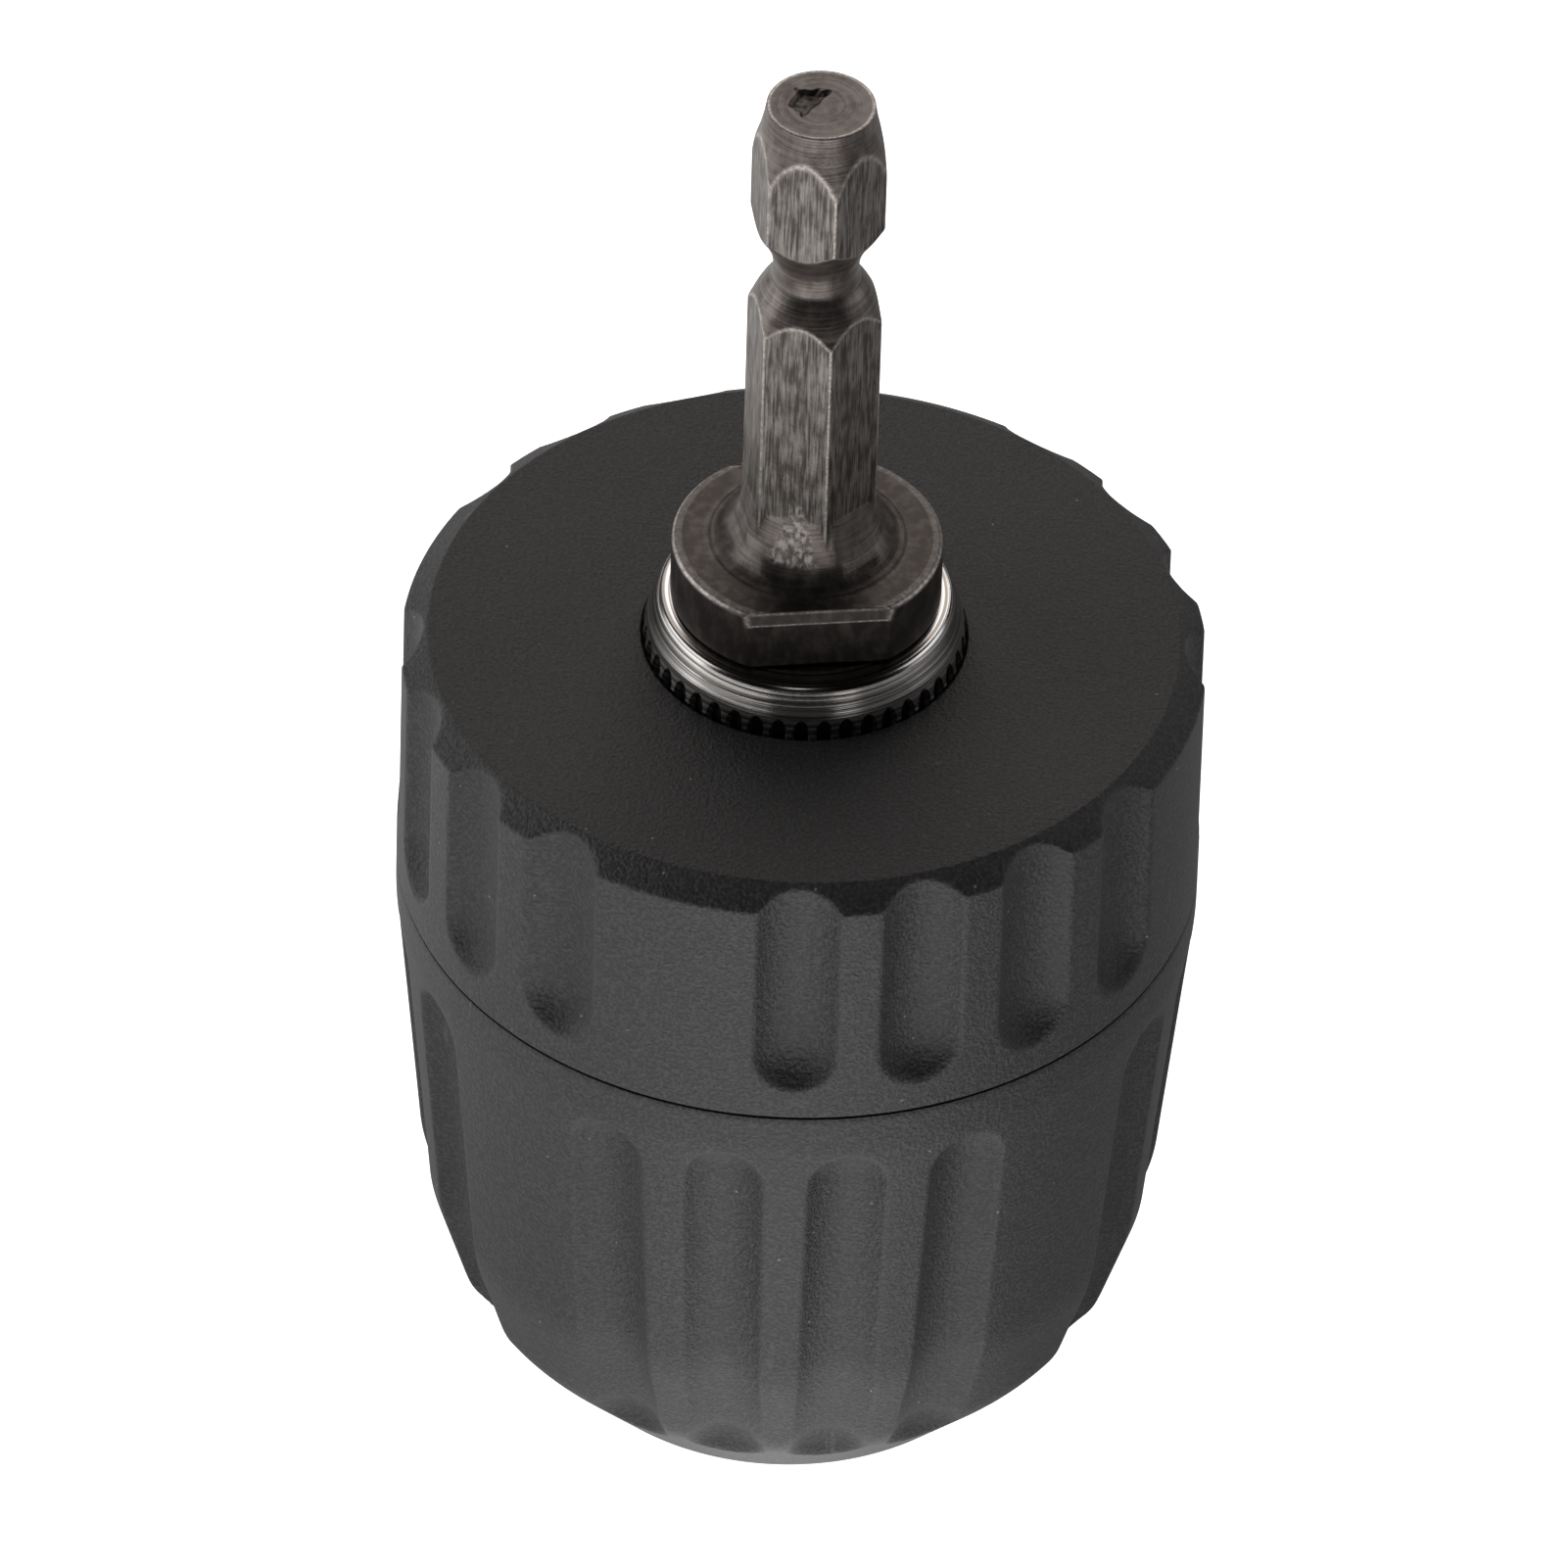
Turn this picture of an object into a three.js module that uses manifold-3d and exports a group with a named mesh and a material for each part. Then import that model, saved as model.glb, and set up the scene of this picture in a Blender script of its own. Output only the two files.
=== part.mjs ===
// Keyless drill chuck, 2 to 13 mm, on a quarter-inch hex shank.
// Millimetres, +Z up. The chuck stands on its nose: Z is its axis, z = 0 is the front sleeve's rim,
// and the hex shank points up. The jaws are open. Every piece is a mesh of its own.
import * as THREE from 'three';
import { mergeVertices } from 'three/addons/utils/BufferGeometryUtils.js';
import Module from 'manifold-3d';

const wasm = await Module();
wasm.setup();

const TAU = 2 * Math.PI;
const DEG = Math.PI / 180;
const ROUND = 36;            // facets round a large turned face
const SMALL_ROUND = 20;      // facets round a small one
const SLEEVE_ROUND = 40;     // facets round a sleeve, two to each flute pitch
const PART_GAP = 0.1;        // clearance between pieces that touch on their flat ends
const PRESS_GAP = 0.15;      // clearance left at a press fit

// Sleeves
const SLEEVE_R = 21.35;      // outside radius at the parting line
const FRONT_TOP = 33.0;      // upper end of the front sleeve
const REAR_BOTTOM = 33.2;    // lower end of the rear sleeve
const REAR_TOP = 48.4;       // flat face round the hub
const CHAMFER_IN = 1.45;     // rear chamfer, measured along the radius
const CHAMFER_DOWN = 1.1;    // rear chamfer, measured along the axis
const BAND_BOTTOM = 30.8;    // lower end of the straight band above the taper
const NOSE_R = 12.2;         // outside radius of the rim at the nose
// Domed nose above the rim, as radius and height: a cone, rounded into the taper of the side.
const DOME = [[16.9, 5.05], [17.85, 6.9], [19.4, 11.6], [19.95, 14.9]];

// Finger flutes: five pitches of 18 degrees make a quarter turn, and every fifth place is left plain
const FLUTE_R = 3.3;         // radius of the flute's round section
const FLUTE_DEPTH = 1.0;
const FLUTE_HALF = 2.25;     // half the width of a flute at the surface
const FLUTE_PITCH = 18 * DEG;
const FLUTES_PER_GROUP = 4;
const FLUTE_GROUPS = 4;
const REAR_FLUTE_LOW = 35.2;    // lower tip of a rear flute
const FRONT_FLUTE_HIGH = 30.2;  // upper tip of a front flute
const FLUTE_SIDES = 10;

// Jaws and their holes
const JAW_TILT = 15 * DEG;
const JAW_R = 3.55;
const JAW_HOLE_R = 3.7;
const JAW_TIP_Z = 0.6;       // front end of an open jaw
const JAW_TIP_D = 5.5;       // distance of the jaw's own axis from the chuck's axis at that end
const JAW_LENGTH = 36.6;
const OPEN_R = 6.5;          // gripping edge to the chuck's axis: half of 13 mm
const JAW_COUNT = 3;
const GRIP_LAND = 0.5;       // half width of the flat on the gripping edge

// Thread of the nut and the jaws
const THREAD_PITCH = 2.0;                              // along the jaw
const RISE = THREAD_PITCH * Math.cos(JAW_TILT);        // along the chuck's axis, per turn
const SPREAD = THREAD_PITCH * Math.sin(JAW_TILT);      // along the radius, per turn
const NUT_MINOR = 0.65;      // nut crest below the jaw's outer line
const NUT_MAJOR = 0.2;       // nut groove beyond the jaw's outer line
const JAW_ROOT = 0.85;       // jaw groove below the jaw's outer line
const THREAD_SEGMENT = 15 * DEG;
const TOOTH_COUNT = 14;

// Nut, bearing and body
const NUT_LOW = 11.5;
const NUT_HIGH = 17.3;
const NUT_R = 15.3;
const BAND_R = 17.25;        // drive band outside radius
const BAND_NOTCH_R = 16.0;   // floor of the drive band's notches
const KEY_WIDTH = 3.0;
const KEY_GAP = 0.3;
const KEY_COUNT = 4;
const BALL_R = 1.0;
const BALL_CIRCLE = 16.1;
const BALL_COUNT = 16;
const RACE_THICK = 0.6;
const RACE_IN = 14.85;
const RACE_OUT = 17.2;
const CAGE_IN = 14.5;
const CAGE_OUT = 17.6;
const CAGE_THICK = 0.5;
const RACE_LOW = NUT_HIGH + PART_GAP;
const BALL_Z = RACE_LOW + RACE_THICK + PART_GAP + BALL_R;
const RACE_HIGH = BALL_Z + BALL_R + PART_GAP;
const FLANGE_LOW = RACE_HIGH + RACE_THICK + PART_GAP;
const FLANGE_HIGH = 25.0;
const FLANGE_R = 17.3;
const NOSE_BORE_R = 6.7;
const NOSE_BORE_END = 31.5;
const BODY_NOSE_R = 10.3;
const TAIL_R = 12.2;
const TAIL_TOP = 38.5;
const HUB_R = 7.95;
const HUB_TOP = 51.35;
const KNURL_R = 8.55;
const KNURL_ROOT_R = 8.05;
const KNURL_LOW = 44.2;
const KNURL_HIGH = 49.5;
const KNURL_TEETH = 44;
const TAIL_BORE_R = 6.2;
const TAIL_BORE_LOW = 36.5;
const SCREW_HOLE_R = 3.0;

// Hex shank adapter
const COLLAR_R = 7.15;
const COLLAR_LOW = HUB_TOP + PRESS_GAP;
const COLLAR_HIGH = 55.06;
const COLLAR_FLATS = 12.1;            // across the two wrench flats
const COLLAR_TURN = 7.2 * DEG;        // the wrench flats' turn from the front
const HEX_FLATS = 6.35;               // quarter inch
const HEX_TURN = 14.9 * DEG;          // a hex corner's turn from the front
const SHANK_TOP = 84.4;
const SHANK_TIP_R = 2.83;
const NECK_R = 2.28;
const STUB_R = 6.0;
const STUB_LOW = 37.0;
const SCREW_R = 2.4;

// Finishes: colour, roughness, metalness
const FINISHES = {
  plastic: [0x1b1b1e, 0.62, 0.0],
  turned: [0x8d8a86, 0.3, 1.0],
  oxide: [0x3a3532, 0.42, 0.9],
  shank: [0x5a5450, 0.38, 1.0],
  hardened: [0x6d6a68, 0.3, 1.0],
  bearing: [0xb4b4b6, 0.15, 1.0],
  cage: [0xa08a4a, 0.4, 0.9],
};

// ---- Small tools -------------------------------------------------------------------------------

// A closed three.js geometry as a solid that can be joined and cut.
function solid(geometry) {
  const bare = geometry.clone();
  bare.deleteAttribute('normal');
  bare.deleteAttribute('uv');
  const merged = mergeVertices(bare);
  const index = merged.index.array;
  const triangles = [];
  for (let i = 0; i < index.length; i += 3) {
    const [a, b, c] = [index[i], index[i + 1], index[i + 2]];
    if (a !== b && b !== c && c !== a) triangles.push(a, b, c);
  }
  return new wasm.Manifold(new wasm.Mesh({
    numProp: 3,
    vertProperties: new Float32Array(merged.attributes.position.array),
    triVerts: new Uint32Array(triangles),
  }));
}

function geometryOf(manifold) {
  const mesh = manifold.getMesh();
  const geometry = new THREE.BufferGeometry();
  geometry.setAttribute('position', new THREE.BufferAttribute(mesh.vertProperties, 3));
  geometry.setIndex(new THREE.BufferAttribute(mesh.triVerts, 1));
  geometry.computeVertexNormals();
  return geometry;
}

// A turned solid: the profile is a list of [radius, height], its outer wall going up.
function turned(profile, facets = ROUND) {
  const points = profile.map(([r, z]) => new THREE.Vector2(r, z));
  return solid(new THREE.LatheGeometry(points, facets).rotateX(Math.PI / 2));
}

function ring(inner, outer, low, high, facets = ROUND) {
  return turned([[inner, low], [outer, low], [outer, high], [inner, high], [inner, low]], facets);
}

function disc(radius, low, high, facets = SMALL_ROUND) {
  return turned([[0, low], [radius, low], [radius, high], [0, high]], facets);
}

// A straight prism: the outline is a list of [x, y].
function prism(outline, low, high) {
  const shape = new THREE.Shape(outline.map(([x, y]) => new THREE.Vector2(x, y)));
  const geometry = new THREE.ExtrudeGeometry(shape, { depth: high - low, bevelEnabled: false });
  return solid(geometry.translate(0, 0, low));
}

function block(x, y, z, at) {
  return solid(new THREE.BoxGeometry(x, y, z).translate(...at));
}

const turnZ = (manifold, angle) => manifold.rotate([0, 0, angle / DEG]);
const joined = (list) => list.reduce((sum, item) => sum.add(item));

// A section of [radius, height] swept about Z, climbing by RISE and widening by SPREAD in each turn.
function threadBand(section, from, to) {
  const shape = new THREE.Shape(section.map(([r, z]) => new THREE.Vector2(r, z)));
  const steps = Math.round((to - from) / THREAD_SEGMENT);
  const geometry = new THREE.ExtrudeGeometry(shape, { depth: 1, steps, bevelEnabled: false });
  const position = geometry.attributes.position;
  for (let i = 0; i < position.count; i++) {
    const angle = to - (to - from) * position.getZ(i);
    const radius = position.getX(i) + (SPREAD * angle) / TAU;
    const height = position.getY(i) + (RISE * angle) / TAU;
    position.setXYZ(i, radius * Math.cos(angle), radius * Math.sin(angle), height);
  }
  return solid(geometry);
}

// ---- Shared shapes -----------------------------------------------------------------------------

// Radius of the line that the backs of the jaws slide along, at a height.
function jawLine(z) {
  return JAW_TIP_D + (z - JAW_TIP_Z) * Math.tan(JAW_TILT) + JAW_R / Math.cos(JAW_TILT);
}

// Places a solid that stands on the origin along +Z onto the axis of a jaw whose turn is zero.
function alongJaw(manifold) {
  return manifold.rotate([0, JAW_TILT / DEG, 0]).translate([JAW_TIP_D, 0, JAW_TIP_Z]);
}

const jawTurn = (number) => (TAU * number) / JAW_COUNT;

// Front sleeve's outside, from the rim up to the parting line.
function frontOutline() {
  return [[NOSE_R, 0], ...DOME, [SLEEVE_R, BAND_BOTTOM], [SLEEVE_R, FRONT_TOP]];
}

// Turns of the sixteen flutes: four groups of four, centred on the front.
function fluteTurns(first) {
  const turns = [];
  for (let group = 0; group < FLUTE_GROUPS; group++) {
    for (let i = 0; i < FLUTES_PER_GROUP; i++) {
      turns.push(first + (group * TAU) / FLUTE_GROUPS + i * FLUTE_PITCH);
    }
  }
  return turns;
}

// ---- Sleeves -----------------------------------------------------------------------------------

function rearSleeve() {
  const wall = 19.2;
  const bore = KNURL_R + 0.2;
  const boss = 11.0;
  const bossLow = 41.0;
  const discLow = 45.2;
  const side = SLEEVE_R - 0.05;
  let body = turned([
    [wall, REAR_BOTTOM], [SLEEVE_R, REAR_BOTTOM], [side, REAR_TOP - CHAMFER_DOWN],
    [side - CHAMFER_IN, REAR_TOP], [bore, REAR_TOP], [bore, bossLow], [boss, bossLow],
    [boss, discLow], [wall, discLow], [wall, REAR_BOTTOM],
  ], SLEEVE_ROUND);
  // A flute is a round bar with a ball end, laid against the side and open at the top.
  const centre = SLEEVE_R - FLUTE_DEPTH + FLUTE_R;
  const length = 30;
  const bar = solid(new THREE.CapsuleGeometry(FLUTE_R, length, 3, FLUTE_SIDES)
    .rotateX(Math.PI / 2).translate(0, -centre, REAR_FLUTE_LOW + FLUTE_HALF + length / 2));
  const first = -1.3 * DEG;
  for (const turn of fluteTurns(first)) body = body.subtract(turnZ(bar, turn));
  return body;
}

function frontSleeve() {
  const wallTop = 19.4;
  const shoulderR = BODY_NOSE_R + 0.2;
  const recessR = 11.3;
  const inside = [
    [wallTop, FRONT_TOP], [18.4, 18.5], [17.6, NUT_HIGH + 0.2], [17.6, NUT_LOW - 0.3], [17.2, 10.8],
    [14.6, 5.0], [12.7, 4.3], [shoulderR, 4.3], [shoulderR, 2.9], [recessR, 2.9], [recessR, 0],
  ];
  let body = turned([[recessR, 0], ...frontOutline(), ...inside], SLEEVE_ROUND);
  const cutter = frontFluteCutter();
  for (const turn of fluteTurns(-27 * DEG)) body = body.subtract(turnZ(cutter, turn));
  const key = block(1.7, KEY_WIDTH, NUT_HIGH - NUT_LOW - 0.4, [17.15, 0, (NUT_HIGH + NUT_LOW) / 2]);
  for (let i = 0; i < KEY_COUNT; i++) body = body.add(turnZ(key, ((i + 0.5) * TAU) / KEY_COUNT));
  return body;
}

// A round bar with ball ends that follows the sleeve's outline, on the -Y side.
function frontFluteCutter() {
  const offset = FLUTE_R - FLUTE_DEPTH;
  const outline = frontOutline();
  const path = [];
  for (let i = 1; i < outline.length - 1; i++) {
    const [before, here, after] = [outline[i - 1], outline[i], outline[i + 1]];
    const along = new THREE.Vector2(after[0] - before[0], after[1] - before[1]).normalize();
    path.push(new THREE.Vector3(0, -(here[0] + along.y * offset), here[1] - along.x * offset));
  }
  const top = path.pop();
  const below = path[path.length - 1];
  const end = below.clone().lerp(top, (FRONT_FLUTE_HIGH - FLUTE_HALF - below.z) / (top.z - below.z));
  const section = new THREE.Shape().absarc(0, 0, FLUTE_R, 0, TAU);
  const bar = new THREE.ExtrudeGeometry(section, {
    extrudePath: new THREE.CatmullRomCurve3([...path, end]),
    steps: 6,
    curveSegments: FLUTE_SIDES / 2,
  });
  const ballAt = (at) => solid(new THREE.SphereGeometry(FLUTE_R, FLUTE_SIDES, 8).rotateX(Math.PI / 2)
    .translate(at.x, at.y, at.z));
  return joined([solid(bar), ballAt(path[0]), ballAt(end)]);
}

// ---- Body --------------------------------------------------------------------------------------

function chuckBody() {
  const core = 1.1;          // the nut groove's floor lies this far inside the jaws' backs
  const noseLow = 0.5;
  const shoulder = 4.7;
  const shoulderR = 12.4;
  const grooveLow = NUT_LOW - 0.3;
  let body = turned([
    [0, noseLow], [BODY_NOSE_R - 0.4, noseLow], [BODY_NOSE_R, noseLow + 0.4], [BODY_NOSE_R, shoulder],
    [shoulderR, shoulder], [shoulderR, grooveLow], [jawLine(grooveLow) - core, grooveLow],
    [jawLine(FLANGE_LOW) - core, FLANGE_LOW], [FLANGE_R, FLANGE_LOW], [FLANGE_R, FLANGE_HIGH],
    [TAIL_R, FLANGE_HIGH], [TAIL_R, TAIL_TOP - 1], [TAIL_R - 1, TAIL_TOP], [HUB_R, TAIL_TOP],
    [HUB_R, KNURL_LOW], [HUB_R, KNURL_HIGH], [HUB_R, HUB_TOP - 0.3], [HUB_R - 0.3, HUB_TOP], [0, HUB_TOP],
  ]);
  body = body.add(knurl());
  const jawHole = alongJaw(disc(JAW_HOLE_R, -8, 50, 16));
  for (let i = 0; i < JAW_COUNT; i++) body = body.subtract(turnZ(jawHole, jawTurn(i)));
  body = body.subtract(disc(NOSE_BORE_R, noseLow - 1, NOSE_BORE_END));
  body = body.subtract(disc(SCREW_HOLE_R, NOSE_BORE_END - 1, TAIL_BORE_LOW + 1));
  return body.subtract(disc(TAIL_BORE_R, TAIL_BORE_LOW, HUB_TOP + 1, 24));
}

// Serrations that the rear sleeve is pressed onto.
function knurl() {
  const outline = [];
  const pitch = TAU / KNURL_TEETH;
  for (let i = 0; i < KNURL_TEETH; i++) {
    for (const [part, radius] of [[0, KNURL_ROOT_R], [0.3, KNURL_R], [0.7, KNURL_R]]) {
      const angle = (i + part) * pitch;
      outline.push([radius * Math.sin(angle), -radius * Math.cos(angle)]);
    }
  }
  return prism(outline, KNURL_LOW, KNURL_HIGH);
}

function noseRing() {
  return ring(BODY_NOSE_R + PRESS_GAP, 11.15, 0.25, 2.75);
}

// ---- Jaws and nut ------------------------------------------------------------------------------

function jaw(number) {
  const lead = 4;            // spare length below the tip, cut off square to the chuck's axis
  const edge = 0.6;
  const blank = alongJaw(turned([
    [0, -lead], [JAW_R, -lead], [JAW_R, JAW_LENGTH - edge], [JAW_R - edge, JAW_LENGTH], [0, JAW_LENGTH],
  ], 16));
  const reach = 20;          // the gripping faces open at 60 degrees each way, past the jaw's back
  const side = GRIP_LAND + reach * Math.tan(60 * DEG);
  const wedge = prism([
    [OPEN_R, -GRIP_LAND], [OPEN_R + reach, -side], [OPEN_R + reach, side], [OPEN_R, GRIP_LAND],
  ], JAW_TIP_Z, 45);
  const tip = turned([[0, JAW_TIP_Z], [7.9, JAW_TIP_Z], [10.4, 3.4], [30, 3.4], [30, 45], [0, 45]], 36);
  const body = blank.intersect(wedge).intersect(tip).subtract(jawTeeth(number));
  return turnZ(body, jawTurn(number));
}

// Grooves in a jaw's back. Each jaw's grooves start a third of a pitch after the one before it,
// because the nut's thread climbs by that much between them.
function jawTeeth(number) {
  const z = NUT_LOW - RISE / 2 + (RISE * number) / JAW_COUNT;
  const r = jawLine(z);
  const section = [
    [r - JAW_ROOT, z - 0.5], [r + 0.6, z - 0.86], [r + 0.6, z + 0.86], [r - JAW_ROOT, z + 0.5],
  ];
  const groove = threadBand(section, -2 * THREAD_SEGMENT, 2 * THREAD_SEGMENT);
  const grooves = [];
  for (let i = 0; i < TOOTH_COUNT; i++) {
    const slide = i * THREAD_PITCH;
    grooves.push(groove.translate([slide * Math.sin(JAW_TILT), 0, slide * Math.cos(JAW_TILT)]));
  }
  return joined(grooves);
}

// The whole nut, before it is split: a ring whose bore is a conical thread.
function nut() {
  const blank = turned([
    [jawLine(NUT_LOW) - NUT_MINOR, NUT_LOW], [NUT_R, NUT_LOW], [NUT_R, NUT_HIGH],
    [jawLine(NUT_HIGH) - NUT_MINOR, NUT_HIGH], [jawLine(NUT_LOW) - NUT_MINOR, NUT_LOW],
  ]);
  const z = NUT_LOW;         // a groove's middle lies half a pitch from the crest that fills a jaw's groove
  const r = jawLine(z);
  const section = [
    [r - 1.4, z - 0.83], [r + NUT_MAJOR, z - 0.38], [r + NUT_MAJOR, z + 0.38], [r - 1.4, z + 0.83],
  ];
  return blank.subtract(threadBand(section, -TAU / 2, 3.5 * TAU));
}

function nutHalf(whole, sideSign) {
  const half = 20;
  const splitGap = 0.15;
  return whole.intersect(block(2 * half, half, half, [0, sideSign * (half / 2 + splitGap), NUT_HIGH]));
}

function nutBand() {
  let band = ring(NUT_R + PRESS_GAP, BAND_R, NUT_LOW, NUT_HIGH);
  const notch = block(2, KEY_WIDTH + 2 * KEY_GAP, 10, [BAND_NOTCH_R + 1, 0, NUT_HIGH - 3]);
  for (let i = 0; i < KEY_COUNT; i++) band = band.subtract(turnZ(notch, ((i + 0.5) * TAU) / KEY_COUNT));
  return band;
}

// ---- Bearing -----------------------------------------------------------------------------------

const ballTurn = (number) => (TAU * number) / BALL_COUNT;

function ball(number) {
  const sphere = solid(new THREE.SphereGeometry(BALL_R, 8, 6));
  return turnZ(sphere.translate([BALL_CIRCLE, 0, BALL_Z]), ballTurn(number));
}

function ballCage() {
  const half = CAGE_THICK / 2;
  let cage = ring(CAGE_IN, CAGE_OUT, BALL_Z - half, BALL_Z + half);
  const pocket = disc(BALL_R + 0.12, -1, 1, 8).translate([BALL_CIRCLE, 0, BALL_Z]);
  for (let i = 0; i < BALL_COUNT; i++) cage = cage.subtract(turnZ(pocket, ballTurn(i)));
  return cage;
}

// ---- Hex shank adapter and its screw -----------------------------------------------------------

function hexAdapter() {
  const cornerR = HEX_FLATS / 2 / Math.cos(30 * DEG);
  const hexagon = [];
  for (let i = 0; i < 6; i++) {
    const angle = HEX_TURN + (i * TAU) / 6;
    hexagon.push([cornerR * Math.sin(angle), -cornerR * Math.cos(angle)]);
  }
  const big = cornerR + 0.5;
  const envelope = turned([
    [0, COLLAR_LOW + 1], [big, COLLAR_LOW + 1], [big, 69.4], [3.62, 70.9], [3.45, 71.4], [3.15, 72.1],
    [2.65, 72.9], [2.35, 73.4], [NECK_R, 74.0], [2.4, 74.7], [2.75, 75.6], [3.1, 76.5], [3.66, 77.0],
    [3.66, 80.4], [3.42, 81.8], [3.18, 83.0], [SHANK_TIP_R, SHANK_TOP], [0, SHANK_TOP],
  ], 24);
  const shank = prism(hexagon, COLLAR_LOW + 1, SHANK_TOP).intersect(envelope);
  const foot = turned([
    [0, COLLAR_HIGH - 0.5], [5.6, COLLAR_HIGH - 0.5], [5.6, COLLAR_HIGH + 0.1], [4.6, COLLAR_HIGH + 0.4],
    [4.0, COLLAR_HIGH + 1.1], [3.6, COLLAR_HIGH + 2.7], [0, COLLAR_HIGH + 2.7],
  ], 24);
  return joined([collar(), shank, foot]).subtract(disc(SCREW_R + 0.25, STUB_LOW - 1, STUB_LOW + 9));
}

// The collar with its two wrench flats, and the plain stub that screws into the body.
function collar() {
  const edge = 0.2;
  const plate = turned([
    [0, COLLAR_LOW], [COLLAR_R, COLLAR_LOW], [COLLAR_R, COLLAR_HIGH - edge],
    [COLLAR_R - edge, COLLAR_HIGH], [0, COLLAR_HIGH],
  ]);
  const tall = COLLAR_HIGH - COLLAR_LOW;
  const jawsOfWrench = block(30, COLLAR_FLATS, tall * 2, [0, 0, COLLAR_LOW + tall / 2]);
  return plate.intersect(turnZ(jawsOfWrench, COLLAR_TURN)).add(disc(STUB_R, STUB_LOW, COLLAR_LOW + 1, 24));
}

function retainingScrew() {
  const headLow = 29.0;
  const headR = 4.4;
  const headHigh = NOSE_BORE_END - 0.1;
  const socket = solid(new THREE.CylinderGeometry(2.3, 2.3, 3, 6).rotateX(Math.PI / 2)
    .translate(0, 0, headLow));
  return turned([
    [0, headLow], [headR - 0.4, headLow], [headR, headLow + 0.4], [headR, headHigh], [SCREW_R, headHigh],
    [SCREW_R, 44.2], [SCREW_R - 0.5, 44.8], [0, 44.8],
  ], SMALL_ROUND).subtract(socket);
}

// ---- Assembly ----------------------------------------------------------------------------------

const chuck = new THREE.Group();

function place(name, manifold, finish) {
  const [color, roughness, metalness] = FINISHES[finish];
  const material = new THREE.MeshStandardMaterial({ color, roughness, metalness, flatShading: true });
  const mesh = new THREE.Mesh(geometryOf(manifold), material);
  mesh.name = name;
  chuck.add(mesh);
}

place('chuck_body', chuckBody(), 'turned');
place('rear_sleeve', rearSleeve(), 'plastic');
place('hex_adapter', hexAdapter(), 'shank');
place('retaining_screw', retainingScrew(), 'oxide');
place('nose_ring', noseRing(), 'hardened');
place('race_rear', ring(RACE_IN, RACE_OUT, RACE_HIGH, RACE_HIGH + RACE_THICK), 'bearing');

const wholeNut = nut();
place('front_sleeve', frontSleeve(), 'plastic');
place('nut_half_a', nutHalf(wholeNut, 1), 'hardened');
place('nut_half_b', nutHalf(wholeNut, -1), 'hardened');
place('nut_band', nutBand(), 'hardened');
place('race_front', ring(RACE_IN, RACE_OUT, RACE_LOW, RACE_LOW + RACE_THICK), 'bearing');

place('ball_cage', ballCage(), 'cage');
for (let i = 0; i < BALL_COUNT; i++) place(`ball_${String(i + 1).padStart(2, '0')}`, ball(i), 'bearing');
for (let i = 0; i < JAW_COUNT; i++) place(`jaw_${i + 1}`, jaw(i), 'oxide');

export default chuck;
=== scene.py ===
# %% [markdown]
# # A keyless drill chuck on a hex shank
# A keyless chuck is two black plastic sleeves round a steel body. Turning the front sleeve turns a
# threaded nut, and the nut pushes three tilted jaws together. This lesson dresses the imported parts:
# each cell makes one piece or one finish, in metres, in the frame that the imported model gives.

import math

import bmesh
import bpy
import numpy as np
from mathutils import Matrix, Vector


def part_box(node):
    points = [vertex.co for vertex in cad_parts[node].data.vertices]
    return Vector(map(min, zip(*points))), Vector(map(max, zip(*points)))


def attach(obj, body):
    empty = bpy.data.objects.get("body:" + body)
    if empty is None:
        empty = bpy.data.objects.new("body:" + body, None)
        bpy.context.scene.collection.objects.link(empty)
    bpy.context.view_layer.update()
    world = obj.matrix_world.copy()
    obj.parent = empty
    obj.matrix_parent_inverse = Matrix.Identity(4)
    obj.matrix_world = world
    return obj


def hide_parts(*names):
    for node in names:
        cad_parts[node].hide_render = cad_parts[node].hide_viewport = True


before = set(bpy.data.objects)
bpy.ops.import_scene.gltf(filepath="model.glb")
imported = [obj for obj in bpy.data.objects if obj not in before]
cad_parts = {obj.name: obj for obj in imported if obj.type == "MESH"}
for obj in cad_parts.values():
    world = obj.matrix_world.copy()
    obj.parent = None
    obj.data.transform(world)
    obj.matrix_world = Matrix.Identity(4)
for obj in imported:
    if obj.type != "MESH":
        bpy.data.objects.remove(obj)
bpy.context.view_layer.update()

# %% [markdown]
# ## Driving sizes
# Everything below is worked out in millimetres, as on a workshop drawing, and only the last step of
# making a mesh turns it into metres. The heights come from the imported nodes' own boxes, so a piece
# can't drift away from the part that it stands for.

# %% Heights and radii read from the frame
MM = 0.001


def reach(node):
    """Lowest height, highest height and outside radius of a node, in millimetres."""
    low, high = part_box(node)
    return low.z / MM, high.z / MM, max(high.x, -low.x, high.y, -low.y) / MM


_, FRONT_TOP, SLEEVE_R = reach("front_sleeve")
REAR_BOTTOM, REAR_TOP, _ = reach("rear_sleeve")
NOSE_LOW, HUB_TOP, FLANGE_R = reach("chuck_body")
STUB_LOW, SHANK_TOP, COLLAR_R = reach("hex_adapter")
RING_LOW, RING_HIGH, RING_R = reach("nose_ring")
SCREW_LOW, SCREW_TOP, SCREW_HEAD_R = reach("retaining_screw")
print("sleeve radius", round(SLEEVE_R, 2), "rear face", round(REAR_TOP, 2), "shank top", round(SHANK_TOP, 2))

# %% [markdown]
# ## Turned skins
# Nearly every piece was turned on a lathe or moulded in a round cavity, so one tool makes most of
# them. It takes an outline of radius and height, spins it, and lets the radius change with the turn,
# which is how flutes, flats and serrations come out of the same mesh as the round parts.

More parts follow.
